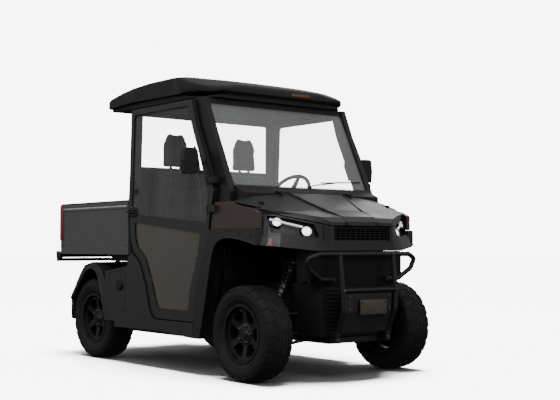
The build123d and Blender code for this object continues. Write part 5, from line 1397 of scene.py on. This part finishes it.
for make in (wheels, suspension, boots, differential_covers, engine_case, exhaust, airbox, radiator_details,
             guard_fittings, roof_pieces, lamp_insides, tail_details, shade_panels, seats, seat_hardware, doors,
             brakes, hood_details, window_borders, wiper, headliner, dash_details, wheel_grip, floor_details,
             bed_sides, bed_floor, gate_latches, body_trim, fuel_cap):
    make()


# ------------------------------------------------------------------ studio
CENTRE = Vector((0.0, 0.0, 1.0))
PAPER = 7.6       # how bright the background is to look at
SKY_ABOVE = 0.62  # how bright it is as light, from above and from below
SKY_BELOW = 0.06
FLOOR_HALF = 60.0
FLOOR_TONE = (0.30, 0.30, 0.30)
CAMERA_PLACE = Vector((-5.012, -6.849, 0.918))
CAMERA_YAW = math.radians(38.8725)
CAMERA_PITCH = math.radians(2.4976)
FOCAL_PIXELS = 1055.13
PICTURE_WIDTH = 560
SENSOR = 36.0
# name, place, size and power of each soft light
SOFT_LIGHTS = [
    ("key", (-4.5, -6.0, 6.5), (4.0, 3.0), 165.0),
    ("fill", (-7.0, 2.5, 3.0), (4.0, 4.0), 60.0),
    ("rim", (5.5, 4.0, 5.0), (4.0, 3.0), 90.0),
    ("rear", (3.0, 7.5, 3.5), (4.0, 3.0), 60.0),
    ("front_strip", (2.5, -7.0, 2.6), (1.2, 4.0), 25.0),
]


def link(thing):
    bpy.context.scene.collection.objects.link(thing)
    return thing


def area_light(name, place, size, power):
    """A rectangular light that faces the vehicle."""
    data = bpy.data.lights.new(name, "AREA")
    data.shape = "RECTANGLE"
    data.size, data.size_y = size
    data.energy = power
    light = link(bpy.data.objects.new(name, data))
    light.location = place
    light.rotation_euler = (CENTRE - Vector(place)).to_track_quat("-Z", "Y").to_euler()


def paper_sky():
    """White paper to look at, and a softer glow from above to light the vehicle."""
    world = bpy.data.worlds.new("studio")
    world.use_nodes = True
    tree = world.node_tree
    sky = tree.nodes["Background"]
    sky.inputs["Color"].default_value = (1.0, 1.0, 1.0, 1.0)
    coords = tree.nodes.new("ShaderNodeTexCoord")
    split = tree.nodes.new("ShaderNodeSeparateXYZ")
    shade = tree.nodes.new("ShaderNodeMapRange")
    rays = tree.nodes.new("ShaderNodeLightPath")
    mix = tree.nodes.new("ShaderNodeMix")
    tree.links.new(coords.outputs["Generated"], split.inputs[0])
    tree.links.new(split.outputs[2], shade.inputs["Value"])
    shade.inputs["From Min"].default_value = -0.25
    shade.inputs["From Max"].default_value = 0.6
    shade.inputs["To Min"].default_value = SKY_BELOW
    shade.inputs["To Max"].default_value = SKY_ABOVE
    tree.links.new(rays.outputs["Is Camera Ray"], mix.inputs[0])
    tree.links.new(shade.outputs[0], mix.inputs[2])
    mix.inputs[3].default_value = PAPER
    tree.links.new(mix.outputs[0], sky.inputs["Strength"])
    bpy.context.scene.world = world


def studio_floor():
    """A pale floor under its own overhead light, left out of reflections."""
    grid = bmesh.new()
    bmesh.ops.create_grid(grid, x_segments=1, y_segments=1, size=FLOOR_HALF)
    data = bpy.data.meshes.new("studio_floor")
    grid.to_mesh(data)
    grid.free()
    data.materials.append(ground_paint("floor_paint", FLOOR_TONE))
    floor = link(bpy.data.objects.new("studio_floor", data))
    floor.visible_diffuse = False
    floor.visible_glossy = False
    floor_only = bpy.data.collections.new("floor_only")
    floor_only.objects.link(floor)
    sun = bpy.data.lights.new("overhead", "SUN")
    sun.energy = 75.0
    sun.angle = math.radians(28.0)
    overhead = link(bpy.data.objects.new("overhead", sun))
    overhead.rotation_euler = (math.radians(-2.0), math.radians(2.0), 0.0)
    overhead.light_linking.receiver_collection = floor_only


def studio_camera():
    """The camera at the front corner, low and nearly level."""
    data = bpy.data.cameras.new("camera")
    data.sensor_width = SENSOR
    data.sensor_fit = "HORIZONTAL"
    data.lens = FOCAL_PIXELS / PICTURE_WIDTH * SENSOR
    data.clip_end = 200.0
    camera = link(bpy.data.objects.new("camera", data))
    camera.location = CAMERA_PLACE
    level = math.cos(CAMERA_PITCH)
    heading = Vector((math.sin(CAMERA_YAW) * level, math.cos(CAMERA_YAW) * level, math.sin(CAMERA_PITCH)))
    camera.rotation_euler = heading.to_track_quat("-Z", "Y").to_euler()
    bpy.context.scene.camera = camera


studio_floor()
paper_sky()
for light in SOFT_LIGHTS:
    area_light(*light)
studio_camera()
